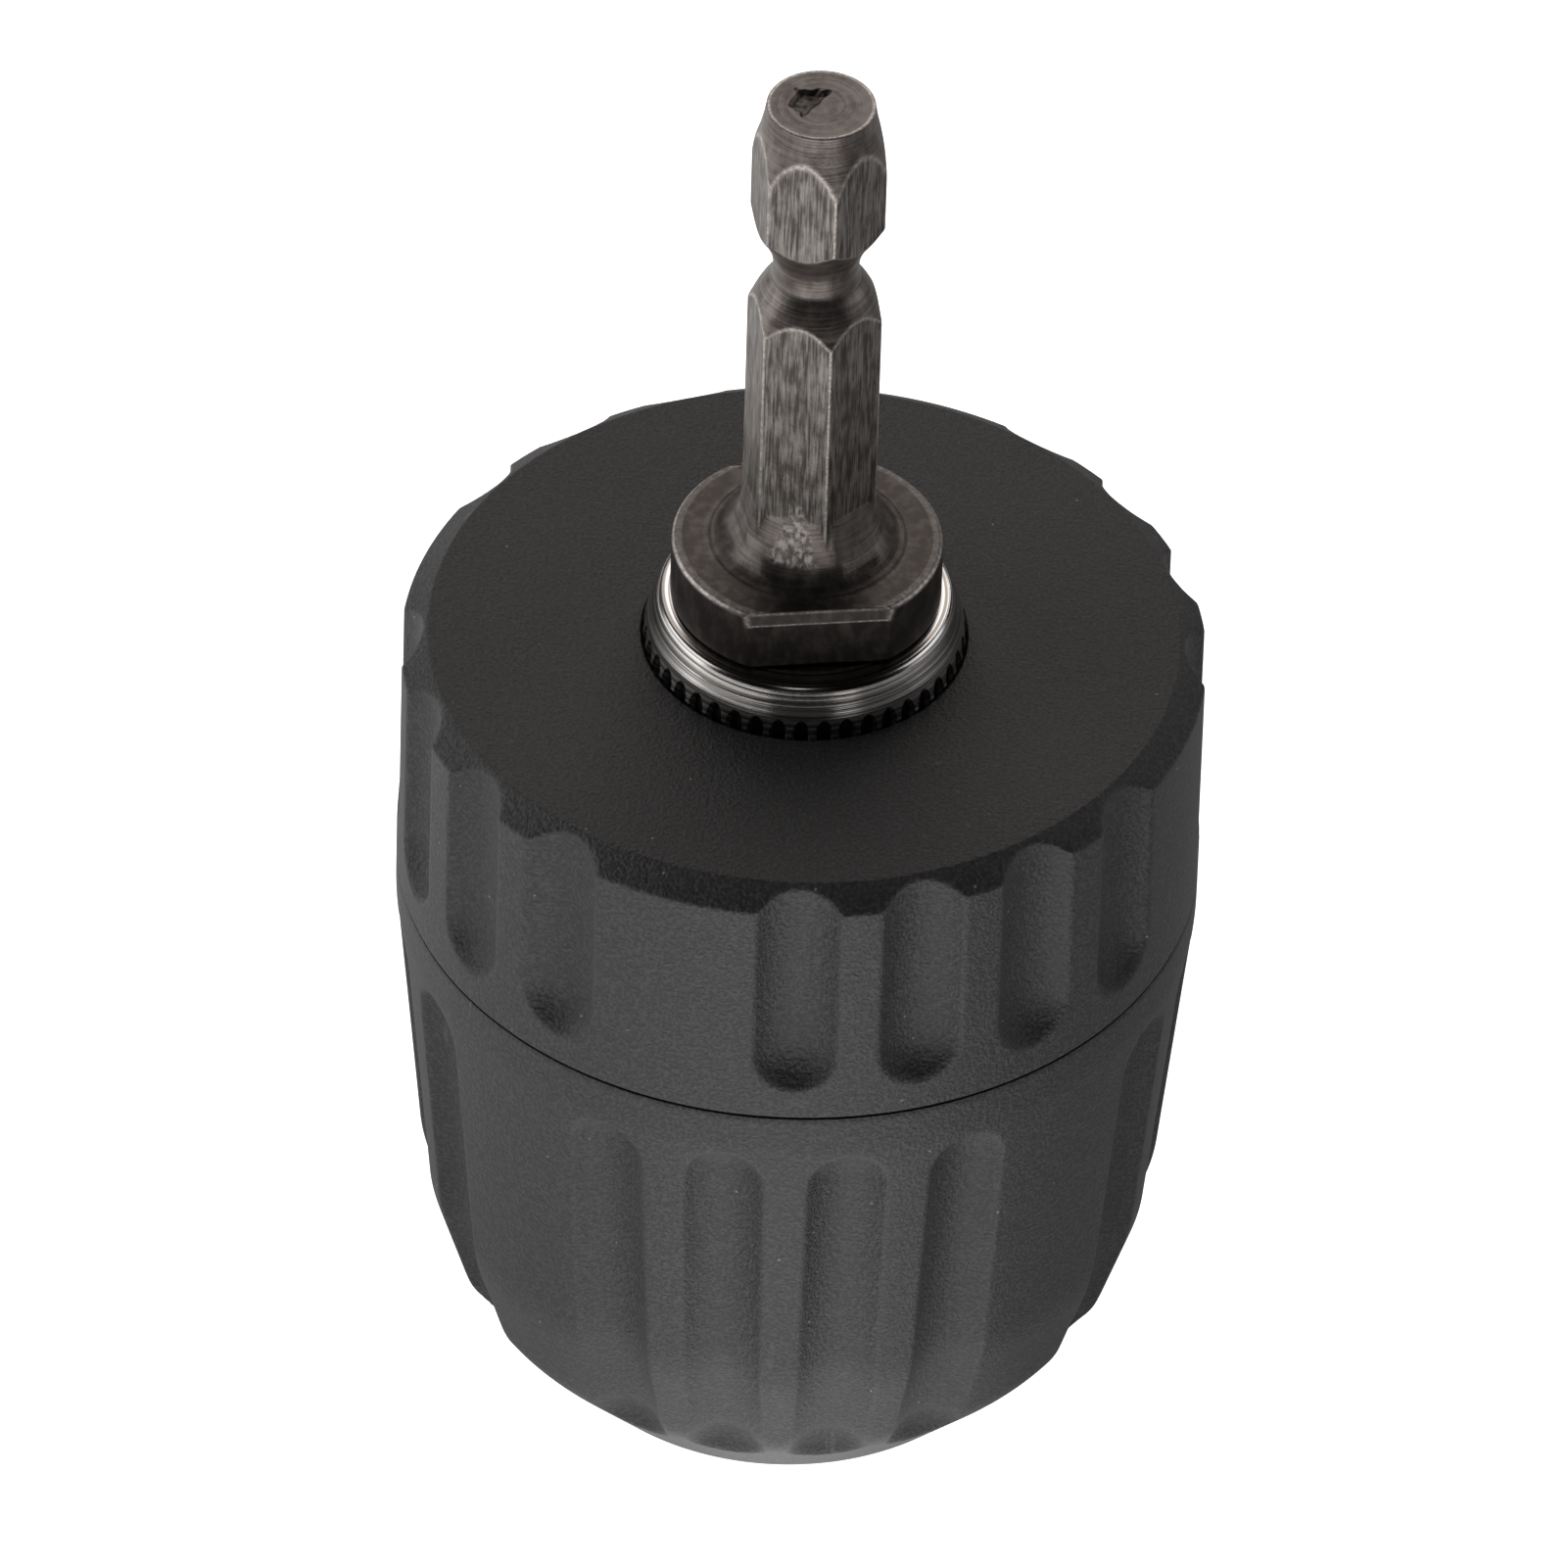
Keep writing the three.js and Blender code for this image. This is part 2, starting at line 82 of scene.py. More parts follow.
# %% Outlines with rounded corners
def rounded(corners, steps=7):
    """A path of (radius, height, rounding) corners, with each corner as an arc."""
    points = []
    count = len(corners)
    for i, (r, z, size) in enumerate(corners):
        here = np.array([r, z])
        if size == 0:
            points.append(here)
            continue
        before = np.array(corners[i - 1][:2]) - here
        after = np.array(corners[(i + 1) % count][:2]) - here
        before, after = before / np.linalg.norm(before), after / np.linalg.norm(after)
        half = math.acos(np.clip(before @ after, -1, 1)) / 2
        reach_back = size / math.tan(half)
        middle = (before + after) / np.linalg.norm(before + after)
        centre = here + middle * size / math.sin(half)
        start, end = here + before * reach_back - centre, here + after * reach_back - centre
        for t in np.linspace(0, 1, steps):
            arc = start * (1 - t) + end * t
            points.append(centre + arc / np.linalg.norm(arc) * size)
    return np.array(points)


def refined(points, step, wanted, closed=False):
    """The same path with extra points wherever wanted(radius, height) is true."""
    made = []
    last = len(points) if closed else len(points) - 1
    for i in range(last):
        a, b = points[i], points[(i + 1) % len(points)]
        parts = 1
        if wanted(*((a + b) / 2)):
            parts = max(1, math.ceil(np.linalg.norm(b - a) / step))
        made += [a + (b - a) * k / parts for k in range(parts)]
    if not closed:
        made.append(points[-1])
    return np.array(made)


# %% [markdown]
# Two surfaces that cross leave a knife edge in mathematics and a soft one in plastic or worn steel.
# A soft minimum and a soft maximum join two radii with a small fillet, so the edge catches light.

# %% Soft joins and steps
def soft_min(a, b, fillet):
    blend = np.clip(fillet - np.abs(a - b), 0, None) / fillet
    return np.minimum(a, b) - blend**2 * fillet / 4


def soft_max(a, b, fillet):
    return -soft_min(-a, -b, fillet)


def smooth_step(low, high, value):
    t = np.clip((value - low) / (high - low), 0, 1)
    return t * t * (3 - 2 * t)


def nearest_turn(turns, places):
    """Angle from each turn to the nearest of the given places, signed."""
    gaps = (turns[:, None] - np.asarray(places)[None, :] + math.pi) % (2 * math.pi) - math.pi
    return gaps[np.arange(len(turns)), np.abs(gaps).argmin(1)]


# %% Spinning an outline into a closed mesh
def all_round(count):
    """Turns round the axis, measured from the front towards +X."""
    return np.arange(count) * 2 * math.pi / count


def skin_mesh(name, r, z, turns, closed, marks=None):
    """A mesh from rings: r and z hold a row for each ring and a column for each turn, in millimetres.
    A ring of no radius closes the end. Marks are named numbers on every point, for the finishes."""
    z = np.broadcast_to(z, r.shape)
    points = np.stack([r * np.sin(turns), -r * np.cos(turns), z], -1).reshape(-1, 3) * MM
    index = np.arange(r.size).reshape(r.shape)
    poles = [row for row in (0, len(r) - 1) if not closed and np.all(r[row] < 1e-6)]
    for row in poles:
        index[row, :] = index[row, 0]
    above = np.roll(index, -1, 0) if closed else index[1:]
    below = index if closed else index[:-1]
    quads = np.stack([below, np.roll(below, -1, 1), np.roll(above, -1, 1), above], -1).reshape(-1, 4)
    used, flat = np.unique(quads, return_inverse=True)
    quads = flat.reshape(-1, 4)
    faces = [list(dict.fromkeys(q)) for q in quads.tolist()]
    mesh = bpy.data.meshes.new(name)
    mesh.from_pydata(points[used].tolist(), [], faces)
    for mark, values in (marks or {}).items():
        layer = mesh.attributes.new(mark, "FLOAT", "POINT")
        spread = np.broadcast_to(values, r.shape).reshape(-1)[used]
        layer.data.foreach_set("value", spread.astype(np.float32))
    mesh.shade_smooth()
    mesh.set_sharp_from_angle(angle=math.radians(50))
    return mesh


def piece(name, mesh, body, slot, finish, *nodes):
    """Puts a mesh in the scene as a piece that rides on a body and stands for CAD nodes."""
    thing = bpy.data.objects.new(name, mesh)
    bpy.context.scene.collection.objects.link(thing)
    mesh.materials.clear()
    mesh.materials.append(finish)
    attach(thing, body)
    if nodes:
        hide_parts(*nodes)
    print(f"{name}: {len(mesh.vertices)} points, {len(mesh.polygons)} faces")
    return thing


# %% [markdown]
# ## Finishes as sums
# A finish is a recipe of masks: how much dust, how worn, which way the tool lines run. Written with
# nodes it becomes a web that is hard to read, so a small class wraps a socket and turns Python sums
# into Math nodes. Everything else goes through one method that adds any node.

# %% A socket that can be added and multiplied
class Signal:
    def __init__(self, recipe, socket):
        self.recipe = recipe
        self.socket = socket

    def math(self, operation, a, b):
        return self.recipe.node("ShaderNodeMath", {"operation": operation}, {0: a, 1: b})

    def __add__(self, other):
        return self.math("ADD", self, other)

    def __sub__(self, other):
        return self.math("SUBTRACT", self, other)

    def __rsub__(self, other):
        return self.math("SUBTRACT", other, self)

    def __mul__(self, other):
        return self.math("MULTIPLY", self, other)

    __radd__ = __add__
    __rmul__ = __mul__


# %% A recipe: one material and the method that adds its nodes
class Recipe:
    def __init__(self, name, colour, roughness, metallic=0.0, **fixed):
        self.material = bpy.data.materials.new(name)
        self.material.use_nodes = True
        self.tree = self.material.node_tree
        self.shader = self.tree.nodes["Principled BSDF"]
        self.material.diffuse_color = (*colour, 1)
        self.shader.inputs["Base Color"].default_value = (*colour, 1)
        self.shader.inputs["Roughness"].default_value = roughness
        self.shader.inputs["Metallic"].default_value = metallic
        for socket, value in fixed.items():
            self.shader.inputs[socket.replace("_", " ")].default_value = value

    def node(self, kind, settings, sockets, out=0):
        """Adds a node: its settings first, then a value or a link for each socket."""
        made = self.tree.nodes.new(kind)
        for name, value in settings.items():
            setattr(made, name, value)
        for key, value in sockets.items():
            if isinstance(value, Signal):
                self.tree.links.new(value.socket, made.inputs[key])
            else:
                made.inputs[key].default_value = value
        return Signal(self, made.outputs[out])

    def place(self):
        """Where a point is on the piece at rest, in metres: it stays with the piece as it moves."""
        return self.node("ShaderNodeTexCoord", {}, {}, "Object")

    def mark(self, name):
        """A number that the mesh carries on its points."""
        return self.node("ShaderNodeAttribute", {"attribute_name": name}, {}, "Fac")

    def grain(self, where, size, detail=2.0):
        """Noise with lumps of about this size in millimetres."""
        sockets = {"Vector": where, "Scale": 1 / (size * MM), "Detail": detail, "Roughness": 0.55}
        return self.node("ShaderNodeTexNoise", {}, sockets, "Fac")

    def ramp(self, value, low, high):
        """A smooth step from 0 at low to 1 at high."""
        return self.node("ShaderNodeMapRange", {"interpolation_type": "SMOOTHSTEP"},
                         {"Value": value, "From Min": low, "From Max": high})

    def mix(self, share, a, b):
        """Colours a and b mixed by share."""
        def filled(colour):
            return colour if isinstance(colour, Signal) else (*colour, 1)
        return self.node("ShaderNodeMix", {"data_type": "RGBA"}, {0: share, 6: filled(a), 7: filled(b)}, 2)

    def stretched(self, where, sizes):
        """The place with each axis scaled, so that round noise becomes streaks."""
        return self.node("ShaderNodeVectorMath", {"operation": "MULTIPLY"}, {0: where, 1: sizes})

    def feed(self, socket, value):
        self.tree.links.new(value.socket, self.shader.inputs[socket])

    def bump(self, height, distance, strength=1.0, over=None):
        """Turns a height from 0 to 1 into a normal; distance is its depth in millimetres."""
        links = {"Height": height, "Distance": distance * MM, "Strength": strength}
        if over:
            links["Normal"] = over
        return self.node("ShaderNodeBump", {}, links)


# %% [markdown]
# ## Moulded plastic
# The sleeves are glass-filled nylon from a spark-eroded mould: black, with a fine even grain that
# scatters light, a few dust specks caught in it, hair scratches, and slow cloudy patches where the
# resin cooled at different speeds. The colour is nearly one black, so the grain does the work.

# %% Sleeve plastic
def sleeve_plastic():
    f = Recipe("sleeve_plastic", (0.028, 0.028, 0.031), 0.5)
    at = f.place()
    grain = f.grain(at, 0.2, 3.0)
    coarse = f.grain(at, 0.45, 2.0)
    clouds = f.grain(at, 9.0, 3.0)
    height = f.node("ShaderNodeSeparateXYZ", {}, {0: at}, "Z")
    top = f.ramp(height, (REAR_TOP - 0.9) * MM, (REAR_TOP - 0.2) * MM)
    cool = f.mix(clouds, (0.024, 0.025, 0.028), (0.034, 0.034, 0.037))
    warm = f.mix(clouds, (0.034, 0.031, 0.030), (0.044, 0.040, 0.038))
    colour = f.mix(top, cool, warm)
    colour = f.mix(f.ramp(grain, 0.42, 0.64) * 0.75, colour, (0.080, 0.080, 0.083))
    cells = {"Vector": at, "Scale": 1 / (1.7 * MM), "Randomness": 1.0}
    near = f.node("ShaderNodeTexVoronoi", {}, cells, "Distance")
    pick = f.node("ShaderNodeSeparateColor", {}, {0: f.node("ShaderNodeTexVoronoi", {}, cells, "Color")})
    speck = (1 - f.ramp(near, 0.03, 0.055)) * f.ramp(pick, 0.3, 0.4)
    lines = f.grain(f.stretched(at, (1.0, 1.0, 0.06)), 0.7, 1.0)
    scratch = f.ramp(lines, 0.735, 0.76) * f.ramp(clouds, 0.5, 0.62)
    colour = f.mix(speck * 0.85 + scratch * 0.12, colour, (0.42, 0.40, 0.38))
    f.feed("Base Color", colour)
    f.feed("Roughness", 0.40 + grain * 0.16 + clouds * 0.08 + speck * 0.3)
    f.feed("Normal", f.bump(grain * 0.7 + coarse * 0.3, 0.15, 1.0))
    return f.material


SLEEVE_PLASTIC = sleeve_plastic()
print("finish:", SLEEVE_PLASTIC.name)

# %% [markdown]
# ## Turned steel
# The hub was faced and turned on a lathe: the tool leaves rings a few hundredths of a millimetre
# apart. Noise read along radius and height only, not round the turn, gives lines that run round the
# axis on every face, flat or cylindrical. A mark darkens the serrations nearly to black: painted shade in
# their recesses.

# %% Where a point lies round the axis
def round_axis(f, at, across):
    """Coordinates that change fast down an outline that faces up and out, and slowly round the turn."""
    flat = f.node("ShaderNodeVectorMath", {"operation": "MULTIPLY"}, {0: at, 1: (1, 1, 0)})
    radius = f.node("ShaderNodeVectorMath", {"operation": "LENGTH"}, {0: flat}, "Value")
    height = f.node("ShaderNodeSeparateXYZ", {}, {0: at}, "Z")
    slow = f.node("ShaderNodeVectorMath", {"operation": "MULTIPLY"}, {0: at, 1: (across, across, 0)})
    lift = f.node("ShaderNodeCombineXYZ", {}, {"Z": height - radius})
    return f.node("ShaderNodeVectorMath", {"operation": "ADD"}, {0: slow, 1: lift})


# %% Turned steel
def turned_steel():
    f = Recipe("turned_steel", (0.5, 0.48, 0.46), 0.28, 1.0)
    at = f.place()
    rings = f.grain(round_axis(f, at, 0.006), 0.24, 2.0)
    broad = f.grain(round_axis(f, at, 0.05), 0.6, 2.0)
    stain = f.grain(at, 1.6, 4.0)
    recess_shade = f.mark("recess_shade")
    colour = f.mix(f.ramp(rings, 0.42, 0.58), (0.30, 0.275, 0.255), (0.86, 0.84, 0.82))
    colour = f.mix(f.ramp(stain, 0.55, 0.75) * 0.35, colour, (0.22, 0.18, 0.15))
    # painted shade: the serrations' recesses are coloured nearly black, and made rough and barely metallic
    colour = f.mix(recess_shade, colour, (0.012, 0.011, 0.010))
    f.feed("Base Color", colour)
    f.feed("Roughness", 0.13 + broad * 0.14 + recess_shade * 0.45)
    f.feed("Metallic", 1 - recess_shade * 0.9)
    f.feed("Normal", f.bump(rings * 0.8 + broad * 0.2, 0.04, 0.8))
    return f.material


TURNED_STEEL = turned_steel()
print("finish:", TURNED_STEEL.name)

# %% [markdown]
# ## Oiled black steel of the shank
# The adapter is hardened, blackened and oiled, then handled. Its flats were drawn through a die, so
# they carry lengthwise streaks where the black has worn to grey, its round parts carry turning
# lines, and its edges are rubbed bright. The mesh carries marks for flats, worn edges and the rough
# patch where a cutter ran out, so each finish stays on its own surface.

# %% Shank steel
def shank_steel():
    f = Recipe("shank_steel", (0.12, 0.105, 0.095), 0.38, 0.92)
    at = f.place()
    flat, worn, scuffed, oxide = f.mark("flat"), f.mark("worn"), f.mark("scuffed"), f.mark("oxide")
    streaks = f.grain(f.stretched(at, (1.0, 1.0, 0.06)), 0.12, 4.0)
    patches = f.grain(f.stretched(at, (1.0, 1.0, 0.5)), 0.7, 6.0)
    pits = f.grain(at, 0.22, 4.0)
    rings = f.grain(round_axis(f, at, 0.03), 0.13, 3.0)
    drawn_share = f.ramp(streaks * 0.6 + patches * 0.4, 0.38, 0.66)
    drawn = f.mix(drawn_share, (0.075, 0.064, 0.058), (0.31, 0.29, 0.27))
    spun_share = f.ramp(rings * 0.5 + patches * 0.5, 0.35, 0.65)
    spun = f.mix(spun_share, (0.10, 0.085, 0.078), (0.23, 0.205, 0.19))
    colour = f.mix(flat, spun, drawn)
    black = f.mix(f.ramp(patches, 0.4, 0.7), (0.062, 0.054, 0.051), (0.115, 0.100, 0.092))
    colour = f.mix(oxide, colour, black)
    speckle = f.ramp(pits, 0.42, 0.62)
    scrape = f.grain(f.stretched(at, (1.0, 1.0, 0.7)), 0.26, 5.0)
    colour = f.mix(scuffed * f.ramp(scrape, 0.40, 0.66) * 0.75, colour, (0.62, 0.59, 0.56))
    colour = f.mix(worn * (0.45 + speckle * 0.55), colour, (0.66, 0.61, 0.57))
    f.feed("Base Color", colour)
    f.feed("Roughness", 0.30 + patches * 0.16 + flat * 0.06 + scuffed * 0.1 + oxide * 0.08)
    lines = rings * (1 - flat) + streaks * flat
    fine = f.bump(lines, 0.014, 0.7)
    f.feed("Normal", f.bump(scrape * scuffed + pits * 0.3, 0.07, 0.8, fine))
    return f.material


SHANK_STEEL = shank_steel()
print("finish:", SHANK_STEEL.name)

# %% [markdown]
# ## Steel of the working parts
# Jaws, nut, races, balls and the nose ring are all steel with different last steps: blackened,
# ground, or polished. One recipe with a few numbers serves them, and the brass-coloured cage too.

# %% Ground, blackened and polished metal
def working_metal(name, dark, bright, roughness, line_size=0.14, stain_share=0.25):
    f = Recipe(name, bright, roughness, 1.0)
    at = f.place()
    lines = f.grain(round_axis(f, at, 0.06), line_size, 3.0)
    blotch = f.grain(at, 1.9, 4.0)
    pits = f.grain(at, 0.2, 2.0)
    colour = f.mix(f.ramp(lines * 0.5 + blotch * 0.5, 0.35, 0.65), dark, bright)
    colour = f.mix(f.ramp(blotch, 0.58, 0.76) * stain_share, colour, (0.10, 0.075, 0.055))
    f.feed("Base Color", colour)
    f.feed("Roughness", roughness - 0.06 + blotch * 0.14 + pits * 0.05)
    f.feed("Normal", f.bump(lines * 0.6 + pits * 0.4, 0.012, 0.7))
    return f.material


BLACK_STEEL = working_metal("black_steel", (0.035, 0.032, 0.030), (0.085, 0.078, 0.073), 0.36)
PLAIN_STEEL = working_metal("plain_steel", (0.26, 0.25, 0.24), (0.42, 0.40, 0.39), 0.30)
BEARING_STEEL = working_metal("bearing_steel", (0.56, 0.56, 0.57), (0.68, 0.68, 0.69), 0.14, 0.08, 0.06)
CAGE_BRASS = working_metal("cage_brass", (0.46, 0.34, 0.15), (0.62, 0.48, 0.24), 0.32)
print("finishes:", len(bpy.data.materials))

# %% [markdown]
# ## Flutes
# The grip flutes were formed by round bars with ball ends laid against the mould. Five pitches make
# a quarter turn and every fifth place is left plain, so each sleeve has four groups of four. The
# depth of a bar below the surface is a circle's sagitta, and a soft maximum rounds its edges.

# %% Flute section
REAR_FLUTE_R = 2.9
FRONT_FLUTE_R = 2.65
FLUTE_DEPTH = 1.2
FLUTE_HALF = 2.25
FLUTE_PITCH = math.radians(18)
FLUTE_EDGE = 0.16
print("flute half angle at the edge:", round(math.degrees(math.asin(FLUTE_HALF / REAR_FLUTE_R)), 1))


def flute_places(first):
    """Turns of the sixteen flutes, four in each quarter."""
    return [first + group * math.pi / 2 + i * FLUTE_PITCH for group in range(4) for i in range(4)]


def flute_depth(sideways, past_end, curvature, flute_r, depth):
    """How far a flute lies below the surface, at a distance sideways from its middle line and past
    the centre of its ball end; curvature is the surface's own, one over millimetres."""
    inside = np.clip(flute_r**2 - sideways**2 - past_end**2, 0, None)
    bar = np.sqrt(inside) - (flute_r - depth) - sideways**2 * curvature / 2
    return soft_max(bar, np.zeros_like(bar), FLUTE_EDGE)


# %% [markdown]
# ## Rear sleeve
# This sleeve is pressed onto the serrations of the body and is what the other hand holds. It is a
# cup, open downwards, with a flat matte face round the hub, a chamfer, and flutes that run out
# through the chamfer. It is spun as one closed ring.

# %% Rear sleeve
REAR_FLUTES_FROM = math.radians(0.6)
REAR_FLUTE_LOW = 35.2


def rear_sleeve():
    side = SLEEVE_R - 0.05
    face_r = side - 1.45
    corners = [
        (SLEEVE_R, REAR_BOTTOM, 0.06), (side, REAR_TOP - 1.1, 0.3), (face_r, REAR_TOP, 0.25),
        (8.62, REAR_TOP, 0.1), (8.62, 41.0, 0.1), (11.0, 41.0, 0.2), (11.0, 45.2, 0.4),
        (19.2, 45.2, 0.6), (19.2, REAR_BOTTOM, 0.12),
    ]
    low = REAR_FLUTE_LOW
    path = refined(rounded(corners), 0.2, lambda r, z: r > face_r - 0.2 and z > low - 1, closed=True)
    turns = all_round(800)
    r, z = path[:, :1], path[:, 1:]
    off = nearest_turn(turns, flute_places(REAR_FLUTES_FROM))[None, :]
    axis_r = SLEEVE_R - FLUTE_DEPTH + REAR_FLUTE_R
    ball = np.clip(low + FLUTE_HALF - z, 0, None)
    open_part = REAR_FLUTE_R**2 - ball**2 - (axis_r * np.sin(off)) ** 2
    cut = np.where(open_part > 0, axis_r * np.cos(off) - np.sqrt(np.clip(open_part, 0, None)), 99)
    fluted = soft_min(np.broadcast_to(r, cut.shape), cut, FLUTE_EDGE)
    radius = np.where((r > face_r - 0.1) & (z > low - 1), fluted, r + 0 * off)
    return skin_mesh("rear_sleeve", radius, z, turns, closed=True)


piece("sleeve_rear", rear_sleeve(), "root", "sleeve_plastic", SLEEVE_PLASTIC, "rear_sleeve")

# %% [markdown]
# ## Front sleeve
# The turning sleeve has a straight band, a slight taper and a domed nose, which is a cone rounded
# into the taper by two arcs. Its flutes follow the surface and end in a ball at both ends, so their
# depth is taken off along the outline's own normal.

# %% Outline of the front sleeve
NOSE_R = 12.75
CONE_TOP = (17.75, 5.8)
TAPER_LOW = (19.75, 12.5)
BAND_BOTTOM = 30.8
FLUTE_LOW = 3.9
FLUTE_HIGH = 30.2
FRONT_FLUTES_FROM = math.radians(-27.2)
OUTLINE_STEP = 0.22
KEY_HALF = 1.5
KEY_R = 16.35


def even_steps(points, step):
    """The path walked again in steps of one length."""
    along = np.concatenate([[0], np.cumsum(np.linalg.norm(np.diff(points, axis=0), axis=1))])
    wanted = np.linspace(0, along[-1], math.ceil(along[-1] / step) + 1)
    return np.stack([np.interp(wanted, along, points[:, k]) for k in range(2)], 1)


# %% Front sleeve
def front_sleeve():
    side = rounded([
        (11.3, 0, 0), (NOSE_R, 0, 0.5), (*CONE_TOP, 5), (*TAPER_LOW, 14),
        (SLEEVE_R, BAND_BOTTOM, 12), (SLEEVE_R, FRONT_TOP, 0.06), (19.4, FRONT_TOP, 0),
    ], 12)[1:-1]
    outer = even_steps(side, OUTLINE_STEP)
    inner = rounded([
        (SLEEVE_R, FRONT_TOP, 0), (19.4, FRONT_TOP, 0.1), (18.4, 18.5, 0.3), (17.6, 17.5, 0.2),
        (17.6, 11.2, 0.2), (17.2, 10.8, 0.1), (14.6, 5.0, 0.5), (12.7, 4.3, 0.3), (10.5, 4.3, 0.1),
        (10.5, 2.9, 0.1), (11.3, 2.9, 0.1), (11.3, 0, 0.15), (NOSE_R, 0, 0),
    ], 4)[1:-1]
    inner = refined(inner, 0.4, lambda r, z: 17.3 < r < 17.7 and z > 11)
    turns = all_round(800)
    off = nearest_turn(turns, flute_places(FRONT_FLUTES_FROM))[None, :]
    slope = np.gradient(outer, axis=0)
    slope /= np.linalg.norm(slope, axis=1)[:, None]
    normal = np.stack([slope[:, 1], -slope[:, 0]], 1)
    r, z = outer[:, :1], outer[:, 1:]
    along = np.arange(len(outer))[:, None] * OUTLINE_STEP
    low_ball = along[np.abs(outer[:, 1] - FLUTE_LOW).argmin()] + FLUTE_HALF
    past = np.clip(z - (FLUTE_HIGH - FLUTE_HALF), 0, None) + np.clip(low_ball - along, 0, None)
    cut = flute_depth(r * np.sin(off), past, normal[:, :1] / r, FRONT_FLUTE_R, FLUTE_DEPTH)
    radius, height = r - cut * normal[:, :1], z - cut * normal[:, 1:]
    keys = np.abs(nearest_turn(turns, math.pi / 4 + np.arange(4) * math.pi / 2))[None, :]
    r, z = inner[:, :1], inner[:, 1:]
    keyed = (keys * 17 < KEY_HALF) & (z > 11.6) & (z < 17.3) & (r > 17)
    radius = np.vstack([radius, np.where(keyed, KEY_R, r + 0 * keys)])
    height = np.vstack([height, z + 0 * keys])
    return skin_mesh("front_sleeve", radius, height, turns, closed=True)


piece("sleeve_front", front_sleeve(), "turning_sleeve", "sleeve_plastic", SLEEVE_PLASTIC, "front_sleeve")

# %% [markdown]
# ## Chuck body
# One bar of steel: a nose that the ring is pressed onto, a cone that the nut turns round, a flange
# for the bearing, a tail, and the hub with its serrations. It is spun with its bores already in the
# outline, then three tilted holes are cut for the jaws.

# %% Cutting one mesh with others
def as_object(name, mesh):
    thing = bpy.data.objects.new(name, mesh)
    bpy.context.scene.collection.objects.link(thing)
    return thing


def carved(mesh, tools, operation="DIFFERENCE"):
    """The mesh with each tool cut away from it, or kept only where it meets the tool."""
    work = as_object("work", mesh)
    cutters = [as_object("cutter", tool) for tool in tools]
    for cutter in cutters:
        step = work.modifiers.new("cut", "BOOLEAN")
        step.operation, step.solver, step.object = operation, "EXACT", cutter
    bpy.context.view_layer.update()
    depsgraph = bpy.context.evaluated_depsgraph_get()
    made = bpy.data.meshes.new_from_object(work.evaluated_get(depsgraph))
    for thing in [work, *cutters]:
        bpy.data.objects.remove(thing)
    made.name = mesh.name
    made.shade_smooth()
    made.set_sharp_from_angle(angle=math.radians(35))
    return made


def bar(radius, low, high, count=96):
    """A plain round bar on the axis, for cutting with."""
    outline = np.array([[0, low], [radius, low], [radius, high], [0, high]])
    return skin_mesh("bar", outline[:, :1] + np.zeros((1, count)), outline[:, 1:], all_round(count), False)


# %% Tilted onto a jaw's axis
JAW_TILT = math.radians(15)
JAW_TIP_Z = 0.6
JAW_TIP_D = 5.5
JAW_R = 3.55


def along_jaw(mesh, number):
    """Moves a mesh that stands on the origin onto the axis of one of the three jaws."""
    tilt = Matrix.Rotation(JAW_TILT, 4, "Y")
    shift = Matrix.Translation(Vector((JAW_TIP_D, 0, JAW_TIP_Z)) * MM)
    mesh.transform(Matrix.Rotation(number * 2 * math.pi / 3, 4, "Z") @ shift @ tilt)
    return mesh


def jaw_line(z):
    """Radius of the line that the jaws' backs slide along."""
    return JAW_TIP_D + (z - JAW_TIP_Z) * math.tan(JAW_TILT) + JAW_R / math.cos(JAW_TILT)


# %% Chuck body
SERRATIONS = 44
SERRATION_DEEP = 0.42
FACE_R = 8.55


def chuck_body():
    core, groove, flange_low, flange_high = 1.1, 11.2, 20.9, 25.0
    corners = [
        (6.7, NOSE_LOW, 0.2), (10.3, NOSE_LOW, 0.4), (10.3, 4.7, 0.1), (12.4, 4.7, 0.2), (12.4, groove, 0.2),
        (jaw_line(groove) - core, groove, 0.1), (jaw_line(flange_low) - core, flange_low, 0.3),
        (FLANGE_R, flange_low, 0.15), (FLANGE_R, flange_high, 0.15), (12.2, flange_high, 0.3),
        (12.2, 38.5, 0.9), (7.95, 38.5, 0.2), (7.95, 44.2, 0.1), (FACE_R, 44.2, 0.1), (FACE_R, 48.5, 0.2),
        (8.36, 49.6, 1.5), (7.72, HUB_TOP - 0.1, 0.45), (6.6, HUB_TOP, 0.3), (6.2, HUB_TOP, 0),
        (6.2, 36.5, 0.2), (3.0, 36.5, 0.1),
        (3.0, 31.5, 0.1), (6.7, 31.5, 0.3),
    ]
    path = refined(rounded(corners), 0.05, lambda r, z: r > 7.6 and 47.6 < z < 51.2, closed=True)
    turns = all_round(SERRATIONS * 18)
    pitch = 2 * math.pi / SERRATIONS
    off = np.abs((turns + pitch / 2) % pitch - pitch / 2)[None, :] / pitch
    r, z = path[:, :1], path[:, 1:]
    arch = np.sqrt(np.clip(1 - np.clip((z - 48.55) / 0.9, 0, 1) ** 2, 0, None)) * 0.4 - 0.06
    notch = smooth_step(-0.03, 0.05, arch - off) * ((r > 8.1) & (z > 44.2) & (z < 49.45))
    # the notch also goes to the finish as a mark of painted shade in the serrations' recesses
    return skin_mesh("body", r - SERRATION_DEEP * notch, z, turns, closed=True, marks={"recess_shade": notch})


jaw_holes = [along_jaw(bar(3.7, -8, 50), number) for number in range(3)]
piece("body", carved(chuck_body(), jaw_holes), "root", "turned_steel", TURNED_STEEL, "chuck_body")

